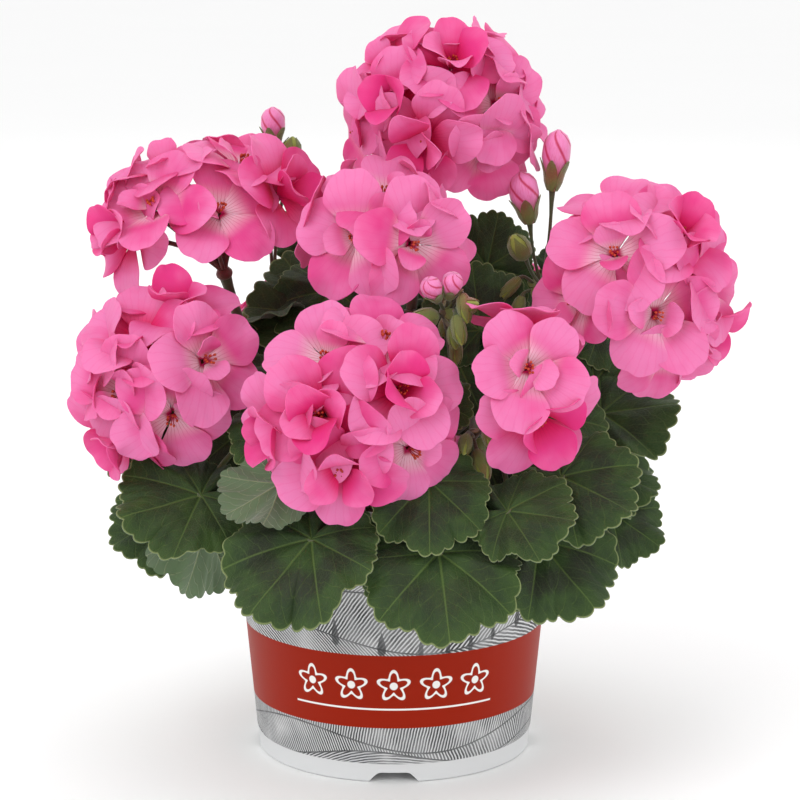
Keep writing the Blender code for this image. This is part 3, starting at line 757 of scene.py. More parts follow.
def soil_finish(soil):
    finish = Finish("potting_mix")
    where = finish.object_place()
    coarse = finish.noise(where, 120.0, 5.0)
    fine = finish.cells(where, 700.0)
    base = finish.mix(coarse.ramp(0.42, 0.7), tuple(soil.dark), tuple(soil.light))
    inputs = {
        "Base Color": finish.mix(fine.ramp(0.5, 0.1) * 0.5, base, tuple(soil.dark)),
        "Roughness": 0.95,
        "Normal": finish.bump(coarse + fine * 0.5, 1.2 * MM, 1.0),
    }
    return finish.surface(inputs)


# Half the width of a printed edge's soft step.
EDGE = 0.15 * MM
SLEEVE_EDGE = 0.2 * MM

# Hills of the printed sleeve, far ones first: height of the crest and its swing in millimetres, its
# waves round the pot and their shift, then the lean of the ruled lines in degrees, their spacing in
# millimetres and whether trees stand on the crest.
HILLS = (
    (88, 5, 3.0, 0.4, 20, 1.1, False),
    (72, 6, 2.0, 2.1, 56, 1.2, False),
    (58, 5, 3.0, 4.0, -35, 1.2, True),
    (30, 6, 2.0, 1.2, 78, 1.2, False),
    (17, 5, 3.0, 3.9, -66, 1.2, False),
    (10, 3, 4.0, 2.3, 12, 1.1, False),
)


def tree_row(arc, around, depth, shift):
    """Slender trees that stand unevenly along a crest."""
    pitch = 12.5 * MM
    local = (((arc + (around * 5.0 + shift).sine() * (4 * MM)) / pitch) % 1.0 - 0.5) * pitch
    wide = local / ((depth + 7.5 * MM) * 0.16 + 0.1 * MM)
    tall = (depth + 2 * MM) / ((around * 9.0 + shift).sine() * (1.6 * MM) + 5.2 * MM)
    return (wide * wide + tall * tall).ramp(1.05, 0.8)


def hatched_hills(finish, around, height, wall):
    """Ink of an engraved landscape: rolling hills ruled with fine lines, and slender trees on them."""
    arc = around * wall
    tremble = finish.noise(finish.join(around * 14.0, height * 260.0), 1.0, 2.0) - 0.5
    weight = finish.noise(finish.join(around * 3.0, height * 40.0), 1.0, 2.0).ramp(0.1, 0.6)
    sky = (height + tremble * (0.6 * MM)) / (1.6 * MM) % 1.0
    ink = sky.ramp(0.72, 0.9) * 0.4
    for crest, swing, waves, shift, lean, period, trees in HILLS:
        depth = crest * MM + swing * MM * (around * waves + shift).sine() - height
        bend = (around * 2.6 + shift).sine() * (4 * MM)
        tilt = math.radians(lean)
        ruled = arc * math.sin(tilt) + (depth + bend) * math.cos(tilt) + tremble * (0.7 * MM)
        lines = (ruled / (period * MM) % 1.0).ramp(0.3, 0.52) * weight
        outline = depth.ramp(0.9 * MM, 0.4 * MM) * 0.9
        ink = finish.mix_value(depth > 0.0, ink, lines.at_least(outline))
        if trees:
            ink = finish.mix_value(tree_row(arc, around, depth, shift) * 0.85, ink, 1.0)
    return ink


def flower_row(around, height, centre, wall):
    """White marks of the band: a row of five-petal flower outlines over a thin rule."""
    pitch = 16.5 * MM
    half_row = pitch * 2.5
    arc = around * wall
    local = ((arc + pitch / 2) % pitch) - pitch / 2
    drop = height - centre
    radius = (local * local + drop * drop) ** 0.5
    outline = 6.1 * MM * (0.76 + 0.24 * (local.angle_to(drop) * 5.0).cosine())
    ring = abs(radius - outline).ramp(0.8 * MM, 0.5 * MM)
    eye = radius.ramp(1.7 * MM, 1.4 * MM)
    in_row = abs(arc) < half_row
    rule = abs(height - (centre - 9.6 * MM)).ramp(0.45 * MM, 0.3 * MM) * in_row
    return (ring.at_least(eye) * in_row).at_least(rule)


def pot_finish(pot, foot, taper, lip_foot):
    """Satin white plastic with a printed sleeve: grey hatched hills and a terracotta band."""
    wall = foot + taper * (pot.band_bottom + pot.band_top) / 2
    finish = Finish("pot_print")
    where = finish.object_place()
    x, y, height = finish.split(where)
    around = x.angle_to(0.0 - y)
    ink = hatched_hills(finish, around, height, wall)
    outside = (x * x + y * y) ** 0.5 > height * taper + (foot - 0.7 * MM)
    sleeve = height.ramp(pot.print_bottom - SLEEVE_EDGE, pot.print_bottom + SLEEVE_EDGE)
    sleeve = sleeve * outside * (height < lip_foot)
    paper = finish.mix(ink * sleeve, tuple(pot.plastic), tuple(pot.ink))
    soft_grey = finish.noise(finish.join(around * 3.0, height * 30.0), 2.0, 2.0)
    paper = finish.mix(soft_grey.ramp(0.4, 0.7) * sleeve * 0.4, paper, linear(168, 170, 172))
    inside = height.ramp(pot.band_bottom - EDGE, pot.band_bottom + EDGE)
    inside = inside * height.ramp(pot.band_top + EDGE, pot.band_top - EDGE) * outside
    banded = finish.mix(inside, paper, tuple(pot.band))
    marks = flower_row(around, height, (pot.band_bottom + pot.band_top) / 2 + 2.5 * MM, wall)
    marked = finish.mix(marks * inside, banded, linear(246, 244, 240))
    grain = finish.noise(where, 2500.0, 2.0)
    inputs = {
        "Base Color": marked,
        "Roughness": 0.42 + grain * 0.1,
        "Specular IOR Level": 0.12,
        "Normal": finish.bump(grain, 0.05 * MM, 0.15),
    }
    return finish.surface(inputs)


# ---------------------------------------------------------------- pieces


class Operator(bpy.types.Operator):
    """Shared parts of the operators that build a piece."""

    bl_options = {"REGISTER", "UNDO"}


class GERANIUM_OT_pot(Operator):
    """The pot: a turned shell with a rolled rim, a raised floor and a notched foot"""

    bl_idname = "geranium.pot"
    bl_label = "Pot"

    def execute(self, context):
        pot = context.scene.geranium_pot
        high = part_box("pot")[1]
        rim = high.x
        height = high.z
        points = Welded("pot").points
        foot = np.hypot(*points[points[:, 2] < 0.05 * MM][:, :2].T).max()
        lip = 1.6 * MM
        wall = 1.4 * MM
        taper = (rim - lip - foot) / height

        def radius(level):
            return foot + taper * level

        lip_foot = height - 6 * MM
        floor = 6 * MM
        profile = [
            (0.0, floor),
            (radius(floor) - wall - 2 * MM, floor),
            (radius(floor) - wall - 0.6 * MM, floor + 0.5 * MM),
            (radius(floor) - wall, floor + 2 * MM),
            (radius(height) - wall, height - 0.7 * MM),
            (radius(height) - wall + 0.4 * MM, height - 0.1 * MM),
            (radius(height) + 0.2 * MM, height),
            (radius(height) + lip - 0.9 * MM, height - 0.05 * MM),
            (radius(height) + lip - 0.3 * MM, height - 0.35 * MM),
            (radius(height) + lip, height - 1.0 * MM),
            (radius(lip_foot) + lip, lip_foot + 0.5 * MM),
            (radius(lip_foot) + lip - 0.4 * MM, lip_foot),
            (radius(lip_foot) + 0.4 * MM, lip_foot - 0.1 * MM),
            (radius(lip_foot), lip_foot - 0.6 * MM),
            (radius(pot.print_bottom + 1.0 * MM), pot.print_bottom + 1.0 * MM),
            (radius(pot.print_bottom) - 0.35 * MM, pot.print_bottom),
            (foot + 0.1 * MM, 0.6 * MM),
            (foot - 0.3 * MM, 0.1 * MM),
            (foot - 0.8 * MM, 0.0),
            (foot - 2.6 * MM, 0.0),
            (foot - 3.0 * MM, 0.4 * MM),
            (foot - 2.8 * MM, 4.5 * MM),
            (0.0, 4.5 * MM),
        ]
        bm = bmesh.new()
        previous = None
        for radial, level in profile:
            vertex = bm.verts.new((radial, 0.0, level))
            if previous:
                bm.edges.new((previous, vertex))
            previous = vertex
        bmesh.ops.spin(
            bm, geom=bm.verts[:] + bm.edges[:], axis=(0, 0, 1), cent=(0, 0, 0),
            angle=math.tau, steps=pot.steps, use_merge=True,
        )
        bmesh.ops.remove_doubles(bm, verts=bm.verts, dist=0.01 * MM)
        mesh = bpy.data.meshes.new("pot_shell")
        bm.to_mesh(mesh)
        bm.free()
        outward(mesh)
        mesh.materials.append(pot_finish(pot, foot, taper, lip_foot))
        piece = finish_piece("pot_shell", mesh, "pot_plastic", "pot", sharp=35)
        for index in range(4):
            self.cut(piece, self.notch(index, foot))
            self.cut(piece, self.drain(index))
        self.apply(piece)
        return {"FINISHED"}

    def notch(self, index, foot):
        """A rounded trapezoid opening in the foot ring."""
        bm = bmesh.new()
        bmesh.ops.create_cube(bm, size=1.0)
        for vertex in bm.verts:
            top = vertex.co.z > 0
            width = 12 * MM if top else 22 * MM
            level = 4 * MM if top else -1 * MM
            vertex.co = Vector((vertex.co.x * width, vertex.co.y * 12 * MM - foot + 2 * MM, level))
        upper = [edge for edge in bm.edges if edge.verts[0].co.z > 0]
        edges = [edge for edge in upper if abs(edge.verts[0].co.y - edge.verts[1].co.y) > 6 * MM]
        bmesh.ops.bevel(bm, geom=edges, offset=1.2 * MM, segments=3, affect="EDGES", profile=0.5)
        turn = index * math.tau / 4
        bmesh.ops.rotate(bm, verts=bm.verts, cent=(0, 0, 0), matrix=Matrix.Rotation(turn, 3, "Z"))
        return self.hidden(f"notch_{index}", bm)

    def drain(self, index):
        """A round hole through the floor."""
        bm = bmesh.new()
        radius = 4 * MM
        bmesh.ops.create_cone(
            bm, cap_ends=True, segments=32, radius1=radius, radius2=radius, depth=8 * MM
        )
        angle = math.radians(45 + 90 * index)
        out = 34 * MM
        place = Vector((out * math.cos(angle), out * math.sin(angle), 5.2 * MM))
        bmesh.ops.translate(bm, verts=bm.verts, vec=place)
        return self.hidden(f"drain_{index}", bm)

    def hidden(self, name, bm):
        """A cutter that is removed once the shell is cut."""
        mesh = bpy.data.meshes.new(name)
        bm.to_mesh(mesh)
        bm.free()
        cutter = bpy.data.objects.new(name, mesh)
        bpy.context.scene.collection.objects.link(cutter)
        return cutter

    def cut(self, piece, cutter):
        modifier = piece.modifiers.new("cut", "BOOLEAN")
        modifier.operation = "DIFFERENCE"
        modifier.solver = "EXACT"
        modifier.object = cutter

    def apply(self, piece):
        """Keep the cut mesh and remove the cutters."""
        cutters = [modifier.object for modifier in piece.modifiers]
        evaluated = piece.evaluated_get(bpy.context.evaluated_depsgraph_get())
        mesh = bpy.data.meshes.new_from_object(evaluated)
        piece.modifiers.clear()
        piece.data = mesh
        mesh.name = piece.name
        for cutter in cutters:
            bpy.data.objects.remove(cutter)


class GERANIUM_OT_soil(Operator):
    """The soil: the root ball's node with a rough surface and loose crumbs on it"""

    bl_idname = "geranium.soil"
    bl_label = "Soil"

    def execute(self, context):
        soil = context.scene.geranium_soil
        finish = soil_finish(soil)
        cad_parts["soil"].data.materials.clear()
        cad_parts["soil"].data.materials.append(finish)
        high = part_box("soil")[1]
        rng = np.random.default_rng(7)
        crumbs = Shape()
        for number in range(soil.crumbs):
            angle = rng.uniform(0, math.tau)
            reach = math.sqrt(rng.uniform(0.02, 0.93)) * high.x
            edge = reach / high.x
            radius = soil.crumb_radius * rng.uniform(0.25, 1.0)
            drop = 2.5 * MM * smooth((edge - 0.35) / 0.65)
            level = high.z - drop + radius * 0.1
            centre = np.array((reach * math.cos(angle), reach * math.sin(angle), level))
            way = unit(rng.normal(size=3))
            side, up = across(way)
            radii = radius * rng.uniform(0.5, 1.0, 3)
            add_ball(crumbs, centre, radii, (side, up, way), 2, 6, seed=number)
        crumbs.build("soil_crumbs", [finish], "soil")
        return {"FINISHED"}


class GERANIUM_OT_stem(Operator):
    """The main stem and the flower stalks, grown smooth over their nodes"""

    bl_idname = "geranium.stem"
    bl_label = "Stem and stalks"

    def execute(self, context):
        stem = context.scene.geranium_stem
        bark = stalk_finish("stem_bark", tuple(stem.green), tuple(stem.brown), 0.75)
        self.trunk(bark)
        finish = stalk_finish("stalk_skin", tuple(stem.green), tuple(stem.brown), 0.5)
        for node in nodes_of("flower_stalk_"):
            head = HeadFrame(node.removeprefix("flower_stalk_"))
            path = eased_path(head.stalk[::-1], 26)
            radii = stem.stalk_radius * (1 + 0.12 * np.linspace(1, -1, 26) ** 3)
            radii[-3:] *= (1.05, 1.2, 1.4)
            shape = Shape()
            add_tube(shape, path, radii, 14, seed=len(node))
            shape.build(node + "_skin", [finish], "flower_stalk", node)
        return {"FINISHED"}

    def trunk(self, bark):
        """The trunk and its branches as one smooth skin."""
        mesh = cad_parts["main_stem"].data.copy()
        bm = bmesh.new()
        bm.from_mesh(mesh)
        bmesh.ops.remove_doubles(bm, verts=bm.verts, dist=0.001 * MM)
        bm.to_mesh(mesh)
        bm.free()
        attribute = mesh.attributes.new("place", "FLOAT_VECTOR", "POINT")
        attribute.data.foreach_set("vector", np.zeros(len(mesh.vertices) * 3, np.float32))
        mesh.materials.clear()
        mesh.materials.append(bark)
        piece = finish_piece("trunk_and_branches", mesh, "stem", "main_stem")
        remesh = piece.modifiers.new("skin", "REMESH")
        remesh.mode = "VOXEL"
        remesh.voxel_size = 0.8 * MM
        remesh.use_smooth_shade = True
        even = piece.modifiers.new("even", "SMOOTH")
        even.factor = 0.5
        even.iterations = 5


PETAL_ROWS = 14
PETAL_COLUMNS = 11
CALYX_LENGTH = 7.5 * MM
SEPAL_THICKNESS = 0.3 * MM


def petal_grid(length, width, lift, reflex, cup, ripple, rng):
    """A petal lying along x with its face up, as a grid: claw first, tip last. Also its two places."""
    a = np.linspace(-1, 1, PETAL_ROWS)[:, None]
    b = np.linspace(-1, 1, PETAL_COLUMNS)[None, :]
    disc_x = a * np.sqrt(1 - b**2 / 2)
    disc_y = b * np.sqrt(1 - a**2 / 2)
    along = (disc_x + 1) / 2
    taper = 0.3 + 0.7 * smooth(along / 0.6)
    sideways = disc_y * taper
    edge = smooth((np.hypot(disc_x, disc_y) - 0.35) / 0.65)
    angle = np.arctan2(disc_y, disc_x)
    phase = rng.uniform(0, math.tau, 3)
    waves = np.sin(3 * angle + phase[0]) + np.sin(5 * angle + phase[1]) * 0.5
    waves = waves + np.sin(9 * angle + phase[2]) * 0.2
    dent = 0.05 * np.exp(-((disc_y / 0.25) ** 2)) * smooth((disc_x - 0.4) / 0.6)
    x = length * (along - dent)
    y = width / 2 * sideways
    z = length * (lift * along - reflex * along**2.4)
    z = z + width * cup * (sideways**2) * along
    z = z + length * ripple * edge * waves * along
    return np.stack((x, y, z), 2), along, sideways


def add_petal(shape, base, outward_way, normal, twist, flower, dims, seed, rng):
    """Lay one petal from its claw's base, along a way, with its face towards a normal."""
    length, width, lift, reflex, cup, ripple = dims
    grid, along, sideways = petal_grid(length, width, lift, reflex, cup, ripple, rng)
    x_way = unit(outward_way)
    z_way = unit(normal - x_way * np.dot(normal, x_way))
    z_way = turned_about(z_way, x_way, twist)
    y_way = np.cross(z_way, x_way)
    points = base + grid @ np.array((x_way, y_way, z_way))
    places = np.stack((along, sideways, np.full_like(along, seed)), 2)
    add_sheet(shape, points, flower.petal_thickness, places)


# The whorls of a floret: by how many degrees their petals rise out of its plane, the petals' share
# of full size and how much they cup, each from least to most.
OUTER_WHORL = ((4, 22), (0.92, 1.06), (-0.04, 0.14))
CUPPED_WHORL = ((42, 66), (0.62, 0.86), (0.1, 0.34))
SMALL_WHORL = ((30, 55), (0.42, 0.62), (0.0, 0.3))

# What a petal's throat looks like: a pale blush, or painted shade, a strong pink at the petal's base for
# the shade in the floret's cup; the cupped inner petals are also painted darker all over. The petal's
# seed is one of these plus a share of its own.
PALE, SHADED_THROAT, SHADED_INNER_THROAT = 0, 1, 2


def add_whorl(petals, centre, face, spin, count, whorl, scale, throat, flower, rng):
    """Petals set evenly round a floret's centre."""
    tilts, reach, cup = whorl
    reach = (reach[0] * scale, reach[1] * scale)
    for number in range(count):
        out = spoke(face, spin + number * math.tau / count + rng.uniform(-0.14, 0.14))
        rise = math.radians(rng.uniform(*tilts))
        way = out * math.cos(rise) + face * math.sin(rise)
        normal = face * math.cos(rise) - out * math.sin(rise)
        length = flower.petal_length * rng.uniform(*reach)
        width = flower.petal_width * rng.uniform(*reach)
        reflex = rng.uniform(0.24, 0.42)
        dims = (length, width, 0.24, reflex, rng.uniform(*cup), rng.uniform(0.025, 0.05))
        base = centre + out * 0.8 * MM + face * 0.4 * MM * number
        seed = throat + rng.uniform(0.02, 0.98)
        add_petal(petals, base, way, normal, rng.uniform(0.04, 0.16), flower, dims, seed, rng)


def add_floret(petals, centre, face, spin, scale, flower, rng):
    """Five broad outer petals, then two small inner ones or a whorl of large cupped ones."""
    throat = PALE if rng.uniform() < 0.5 else SHADED_THROAT
    add_whorl(petals, centre, face, spin, 5, OUTER_WHORL, scale, throat, flower, rng)
    whorl, count = SMALL_WHORL, (1, 3)
    # A throat with painted shade mostly gets a whorl of cupped inner petals, which are painted darker as
    # shade.
    if throat == SHADED_THROAT and rng.uniform() < 0.75:
        whorl, count, throat = CUPPED_WHORL, (3, 5), SHADED_INNER_THROAT
    lifted = centre + face * 2.2 * MM
    count = int(rng.integers(*count))
    add_whorl(petals, lifted, face, spin + 0.6, count, whorl, scale, throat, flower, rng)


def add_stamens(shape, centre, face, rng):
    """A small tuft of filaments, each with its anther."""
    axes = (*across(face), face)
    root = centre + face * 1.5 * MM
    for number in range(8):
        lean = spoke(face, number * 2.4)
        height = rng.uniform(4.5, 7.0) * MM
        tip = root + face * height + lean * rng.uniform(0.8, 2.2) * MM
        path = eased_path((root, (root + tip) / 2 + lean * 0.3 * MM, tip), 4)
        add_tube(shape, path, 0.16 * MM, 5, finish=0)
        add_ball(shape, tip, mm(0.55, 0.55, 0.9), axes, 3, 6, finish=1)


def add_scale_leaf(shape, origin, local, axes, number):
    """A small leaf in finish 1, from the distances of a patch of points along its axes."""
    grid = origin + np.stack(local, 2) @ np.array(axes)
    t, v = patch(*grid.shape[:2])
    add_sheet(shape, grid, SEPAL_THICKNESS, np.stack((t, v, np.full_like(t, number)), 2), 1)


def add_calyx(shape, centre, face, rng):
    """Five pointed sepals that hold the petals from behind."""
    t, v = patch(5, 4)
    width = 1.7 * MM * np.sin(np.pi * (0.18 + 0.8 * t)) * v
    reach = 8.5 * MM * t - CALYX_LENGTH
    flare = 1.2 * MM + 2.6 * MM * t**1.5 - np.abs(v) * 0.5 * MM
    for number in range(5):
        out = spoke(face, number * math.tau / 5 + rng.uniform(-0.15, 0.15))
        axes = (face, out, np.cross(face, out))
        add_scale_leaf(shape, centre, (reach, flare, width), axes, number)


def spread_directions(count, lowest):
    """Evenly spread directions over a dome, as side, up and way, from its crown down."""
    golden = math.pi * (3 - math.sqrt(5))
    found = []
    for number in range(count):
        way = 1 - (1 - lowest) * (number + 0.5) / count
        reach = math.sqrt(max(0.0, 1 - way * way))
        angle = number * golden
        found.append((reach * math.cos(angle), reach * math.sin(angle), way))
    return found


# The florets that face forward: where each throat sits from the middle of its dome, in millimetres
# right, back and up, then the way the floret faces. The dome's other florets are spread evenly.
FLORETS = {
    "top": (
        ((-16, -15, 2), (-0.5, -0.8, 0.3)),
        ((-7, -20, -9), (-0.2, -0.9, -0.3)),
        ((19, -13, 2), (0.6, -0.75, 0.3)),
        ((15, -15, -12), (0.4, -0.8, -0.4)),
        ((3, -12, 15), (0.1, -0.7, 0.7)),
        ((-19, -3, 14), (-0.7, -0.3, 0.6)),
        ((-27, -5, -7), (-0.9, -0.4, -0.1)),
        ((21, 1, 14), (0.7, -0.2, 0.7)),
        ((27, 3, -5), (0.9, 0.0, 0.1)),
        ((0, 6, 20), (0.0, 0.2, 1.0)),
    ),
    "upper_left": (
        ((6, -19, 4), (0.2, -0.75, 0.65)),
        ((-17, -16, 5), (-0.4, -0.7, 0.65)),
        ((-26, -11, -6), (-0.8, -0.6, 0.2)),
        ((27, -7, 10), (0.7, -0.5, 0.4)),
        ((13, -2, 18), (0.3, -0.3, 0.9)),
        ((-14, -2, 17), (-0.4, -0.2, 0.9)),
        ((-30, 4, 5), (-0.9, 0.1, 0.3)),
    ),
    "lower_left": (
        ((-2, -17, -11), (0.0, -0.9, -0.2)),
        ((9, -15, 8), (0.5, -0.8, 0.3)),
        ((-19, -14, -4), (-0.5, -0.9, 0.0)),
        ((-14, -9, 14), (-0.3, -0.7, 0.7)),
        ((-27, -2, 6), (-0.9, -0.3, 0.3)),
        ((-19, -5, -19), (-0.6, -0.6, -0.5)),
        ((-2, 1, 20), (0.0, -0.3, 0.9)),
    ),
    "front": (
        ((-8, -16, -16), (-0.1, -0.9, -0.3)),
        ((15, -12, -11), (0.5, -0.8, -0.2)),
        ((12, -12, 9), (0.3, -0.9, 0.3)),
        ((-13, -7, 19), (-0.2, -0.8, 0.6)),
        ((-14, -17, 2), (-0.3, -0.9, 0.1)),
        ((-26, -7, -6), (-0.8, -0.6, -0.1)),
        ((6, -2, 23), (0.2, -0.5, 0.8)),
    ),
    "middle": (
        ((-10, -15, 1), (-0.3, -0.9, 0.2)),
        ((9, -17, -1), (0.3, -0.9, 0.1)),
        ((0, -7, 13), (0.0, -0.5, 0.8)),
    ),
    "right_front": (
        ((2, -15, 8), (0.1, -0.9, 0.2)),
        ((5, -8, -9), (0.3, -0.8, -0.4)),
    ),
    "right": (
        ((-5, -17, 14), (-0.2, -0.9, 0.4)),
        ((9, -20, -7), (0.2, -1.0, 0.0)),
        ((-4, -2, 26), (-0.1, -0.4, 0.9)),
        ((17, -6, 18), (0.5, -0.6, 0.6)),
        ((27, -6, 2), (0.8, -0.6, 0.1)),
        ((15, -8, -23), (0.3, -0.7, -0.6)),
        ((26, 0, -14), (0.8, -0.4, -0.3)),
    ),
}


class GERANIUM_OT_flower_heads(Operator):
    """The flower heads: florets over each dome, with their pedicels, sepals and stamens"""

    bl_idname = "geranium.flower_heads"
    bl_label = "Flower heads"

    def execute(self, context):
        flower = context.scene.geranium_flower
        petals = [petal_finish(flower)]
        stems = [
            stalk_finish("pedicel_skin", linear(92, 84, 44), linear(104, 44, 36), 0.66),
            stalk_finish("sepal_skin", tuple(flower.sepal), linear(128, 62, 44), 0.42),
        ]
        hearts = [
            plain_finish("filament", linear(206, 60, 90), 0.5),
            plain_finish("anther", tuple(flower.anther), 0.7),
        ]
        for order, node in enumerate(nodes_of("flower_head_")):
            name = node.removeprefix("flower_head_")
            self.petals, self.stems, self.hearts = Shape(), Shape(), Shape()
            self.head(HeadFrame(name), FLORETS.get(name, ()), order, flower)
            self.petals.build(f"petals_{name}", petals, "petals", node)
            self.stems.build(f"pedicels_{name}", stems, "flower_stalk")
            self.hearts.build(f"stamens_{name}", hearts, "petals")
        return {"FINISHED"}

    def head(self, head, placed, order, flower):
        """The placed florets first, then others spread where the dome still has room."""
        rng = np.random.default_rng(100 + order)
        axes = (head.side, head.up, head.way)
        add_ball(self.stems, head.hub + head.way * 0.3 * MM, mm(3.4, 3.4, 2.8), axes, 6, 14, seed=order)
        middle = head.on_dome((0, 0, 0), 0)
        throats = []
        for offset, face in placed:
            throats.append(middle + mm(*offset))
            self.grow(head, throats[-1], unit(np.array(face)), flower, rng)
        lowest, spacing = (0.0, 20 * MM) if throats else (-0.25, 14 * MM)
        radius = (head.wide + head.tall) / 2
        below = head.on_dome((0, 0, -0.4), 1.0)
        for direction in spread_directions(round(15 * (radius / (38 * MM)) ** 1.5), lowest):
            direction = unit(np.array(direction) + rng.normal(0, 0.06, 3))
            throat = head.on_dome(direction, rng.uniform(0.56, 0.68))
            if any(np.linalg.norm(throat - other) < spacing for other in throats):
                continue
            face = unit(unit(head.on_dome(direction, 1.0) - below) + rng.normal(0, 0.12, 3))
            self.grow(head, throat, face, flower, rng)
            throats.append(throat)

    def grow(self, head, throat, face, flower, rng):
        """One floret on a pedicel from the hub."""
        spin = rng.uniform(0, math.tau)
        add_floret(self.petals, throat, face, spin, rng.uniform(0.92, 1.03), flower, rng)
        add_stamens(self.hearts, throat, face, rng)
        add_calyx(self.stems, throat, face, rng)
        end = throat - face * CALYX_LENGTH
        leave = unit(end - head.hub) + head.way * 0.6
        path = bow(head.hub + head.way * 0.6 * MM, leave, end, face, 10)
        radii = flower.pedicel_radius * graded(10, (0, 0.1, 0.85, 1), (1.3, 1.0, 1.0, 1.7))
        add_tube(self.stems, path, radii, 8, seed=rng.uniform(0, 1))


class BudFrame:
    """Where a closed bud's tip and neck are, and how thick it is."""

    def __init__(self, welded, cap):
        rings = welded.rings_from(cap)
        self.tip = welded.centre(rings[0])
        middle = welded.centre(rings[2])
        self.neck = 2 * middle - self.tip
        self.radius = np.linalg.norm(welded.points[rings[2]] - middle, axis=1).mean()
        self.way = unit(self.tip - self.neck)
        self.length = np.linalg.norm(self.tip - self.neck)


RIPE_BUDS = {"right": 2, "left": 1, "centre": 2, "front": 1}

# How thick a closed bud is along its length, as shares of its radius: green ones, then ripe ones.
BUD_PROFILES = (
    ((0, 0.15, 0.4, 0.7, 0.9, 1), (0.4, 0.8, 0.95, 0.8, 0.4, 0.1)),
    ((0, 0.12, 0.3, 0.55, 0.8, 0.93, 1), (0.35, 0.6, 0.72, 1.0, 0.95, 0.6, 0.12)),
)


class GERANIUM_OT_buds(Operator):
    """The bud clusters: a stalk, a knuckle and closed buds that hang or stand on their pedicels"""

    bl_idname = "geranium.buds"
    bl_label = "Bud clusters"

    def execute(self, context):
        flower = context.scene.geranium_flower
        stem = context.scene.geranium_stem
        self.finishes = [
            stalk_finish("bud_stalk", tuple(stem.green), tuple(stem.brown), 0.5),
            stalk_finish("bud_sepal", linear(104, 112, 48), linear(132, 66, 44), 0.4),
            bud_finish(flower),
            stalk_finish("young_bud", linear(138, 148, 58), linear(140, 96, 50), 0.25),
        ]
        for order, node in enumerate(nodes_of("bud_cluster_")):
            self.cluster(node, np.random.default_rng(300 + order))
        return {"FINISHED"}

    def cluster(self, node, rng):
        """One cluster: its stalk, its knuckle, the node's own buds and small ones that nod."""
        welded = Welded(node)
        points = welded.points
        foot = points[np.argmin(np.hypot(points[:, 0], points[:, 1]))]
        root = welded.end_ring(foot, 3.6 * MM)
        rings = [welded.centre(ring) for ring in welded.rings_from(root)[:8]]
        buds = []
        for centre, ring in welded.far_ends(2 * rings[-1] - rings[-2]):
            if len(ring) == BUD_SIDES and np.linalg.norm(centre - rings[0]) > 8 * MM:
                buds.append(BudFrame(welded, ring))
        buds.sort(key=lambda bud: -bud.tip[2])
        hub = self.meeting(buds)
        way = unit(hub - rings[-1])
        shape = Shape()
        radii = graded(22, (0, 0.9, 1), (1.8, 1.6, 2.2)) * MM
        add_tube(shape, eased_path(rings + [hub], 22), radii, 12)
        add_ball(shape, hub, mm(2.9, 2.9, 2.4), (*across(way), way), 5, 10)
        ripe = RIPE_BUDS[node.removeprefix("bud_cluster_")]
        for index, bud in enumerate(buds):
            self.bud(shape, hub, bud, index, index < ripe, rng)
        for number in range(6):
            self.hanging(shape, hub, way, number, rng)
        for number in range(5):
            self.bract(shape, hub, way, number, rng)
        shape.build(node + "_grown", self.finishes, "buds", node)

    def meeting(self, buds):
        """The point nearest to the axes of all the buds, where their pedicels meet."""
        total = np.zeros((3, 3))
        right = np.zeros(3)
        for bud in buds:
            square = np.eye(3) - np.outer(bud.way, bud.way)
            total += square
            right += square @ bud.neck
        return np.linalg.solve(total, right)

    def hanging(self, shape, hub, way, number, rng):
        """A young green bud that nods on a short curled pedicel under the knuckle."""
        out = spoke(way, number * 2.4 + rng.uniform(-0.3, 0.3))
        reach = rng.uniform(7, 11) * MM
        neck = hub + out * reach + way * rng.uniform(-1, 4) * MM
        nod = unit(out * 0.5 - UP * rng.uniform(0.5, 1.2))
        path = bow(hub, unit(out + way * 1.4), neck, nod, 8)
        radii = graded(8, (0, 0.8, 1), (0.7, 0.6, 1.0)) * MM
        add_tube(shape, path, radii, 8, seed=number)
        length = rng.uniform(9, 12) * MM
        radius = rng.uniform(2.3, 2.9) * MM
        tip = neck + nod * length
        young = SimpleNamespace(neck=neck, way=nod, length=length, radius=radius, tip=tip)
        self.closed(shape, young, number, False)

    def bud(self, shape, hub, bud, index, ripe, rng):
        """A pedicel, sepals that clasp the bud, and the furled petals where the bud is large."""
        side, up = across(bud.way)
        bend = side * rng.uniform(-1, 1) + up * rng.uniform(-1, 1)
        reach = np.linalg.norm(bud.neck - hub)
        path = eased_path((hub, (hub + bud.neck) / 2 + bend * 0.04 * reach, bud.neck), 9)
        radii = graded(9, (0, 0.8, 1), (0.75, 0.7, 1.3)) * MM
        add_tube(shape, path, radii, 8, seed=index)
        self.closed(shape, bud, index, ripe)

    def closed(self, shape, bud, index, ripe):
        """The bud's body and the sepals that clasp it."""
        radii = np.maximum(bud.radius * graded(14, *BUD_PROFILES[ripe]), 0.25 * MM)
        core = np.linspace(bud.neck, bud.tip, 14)
        add_tube(shape, core, radii, 16, seed=index * 0.37, finish=2 if ripe else 3)
        for number in range(5):
            self.sepal(shape, bud, number, ripe)

    def sepal(self, shape, bud, number, ripe):
        """A pointed sepal that hugs the bud, up to half its length or all of it."""
        t, v = patch(8, 5)
        length = t * (0.52 if ripe else 0.97)
        hug = np.interp(length, *BUD_PROFILES[ripe]) * bud.radius + 0.25 * MM + 0.6 * MM * t**3
        turn = number * math.tau / 5 + 0.62 * np.sin(np.pi * (0.25 + 0.73 * t)) ** 0.8 * v
        local = (length * bud.length, hug * np.cos(turn), hug * np.sin(turn))
        add_scale_leaf(shape, bud.neck, local, (bud.way, *across(bud.way)), number)

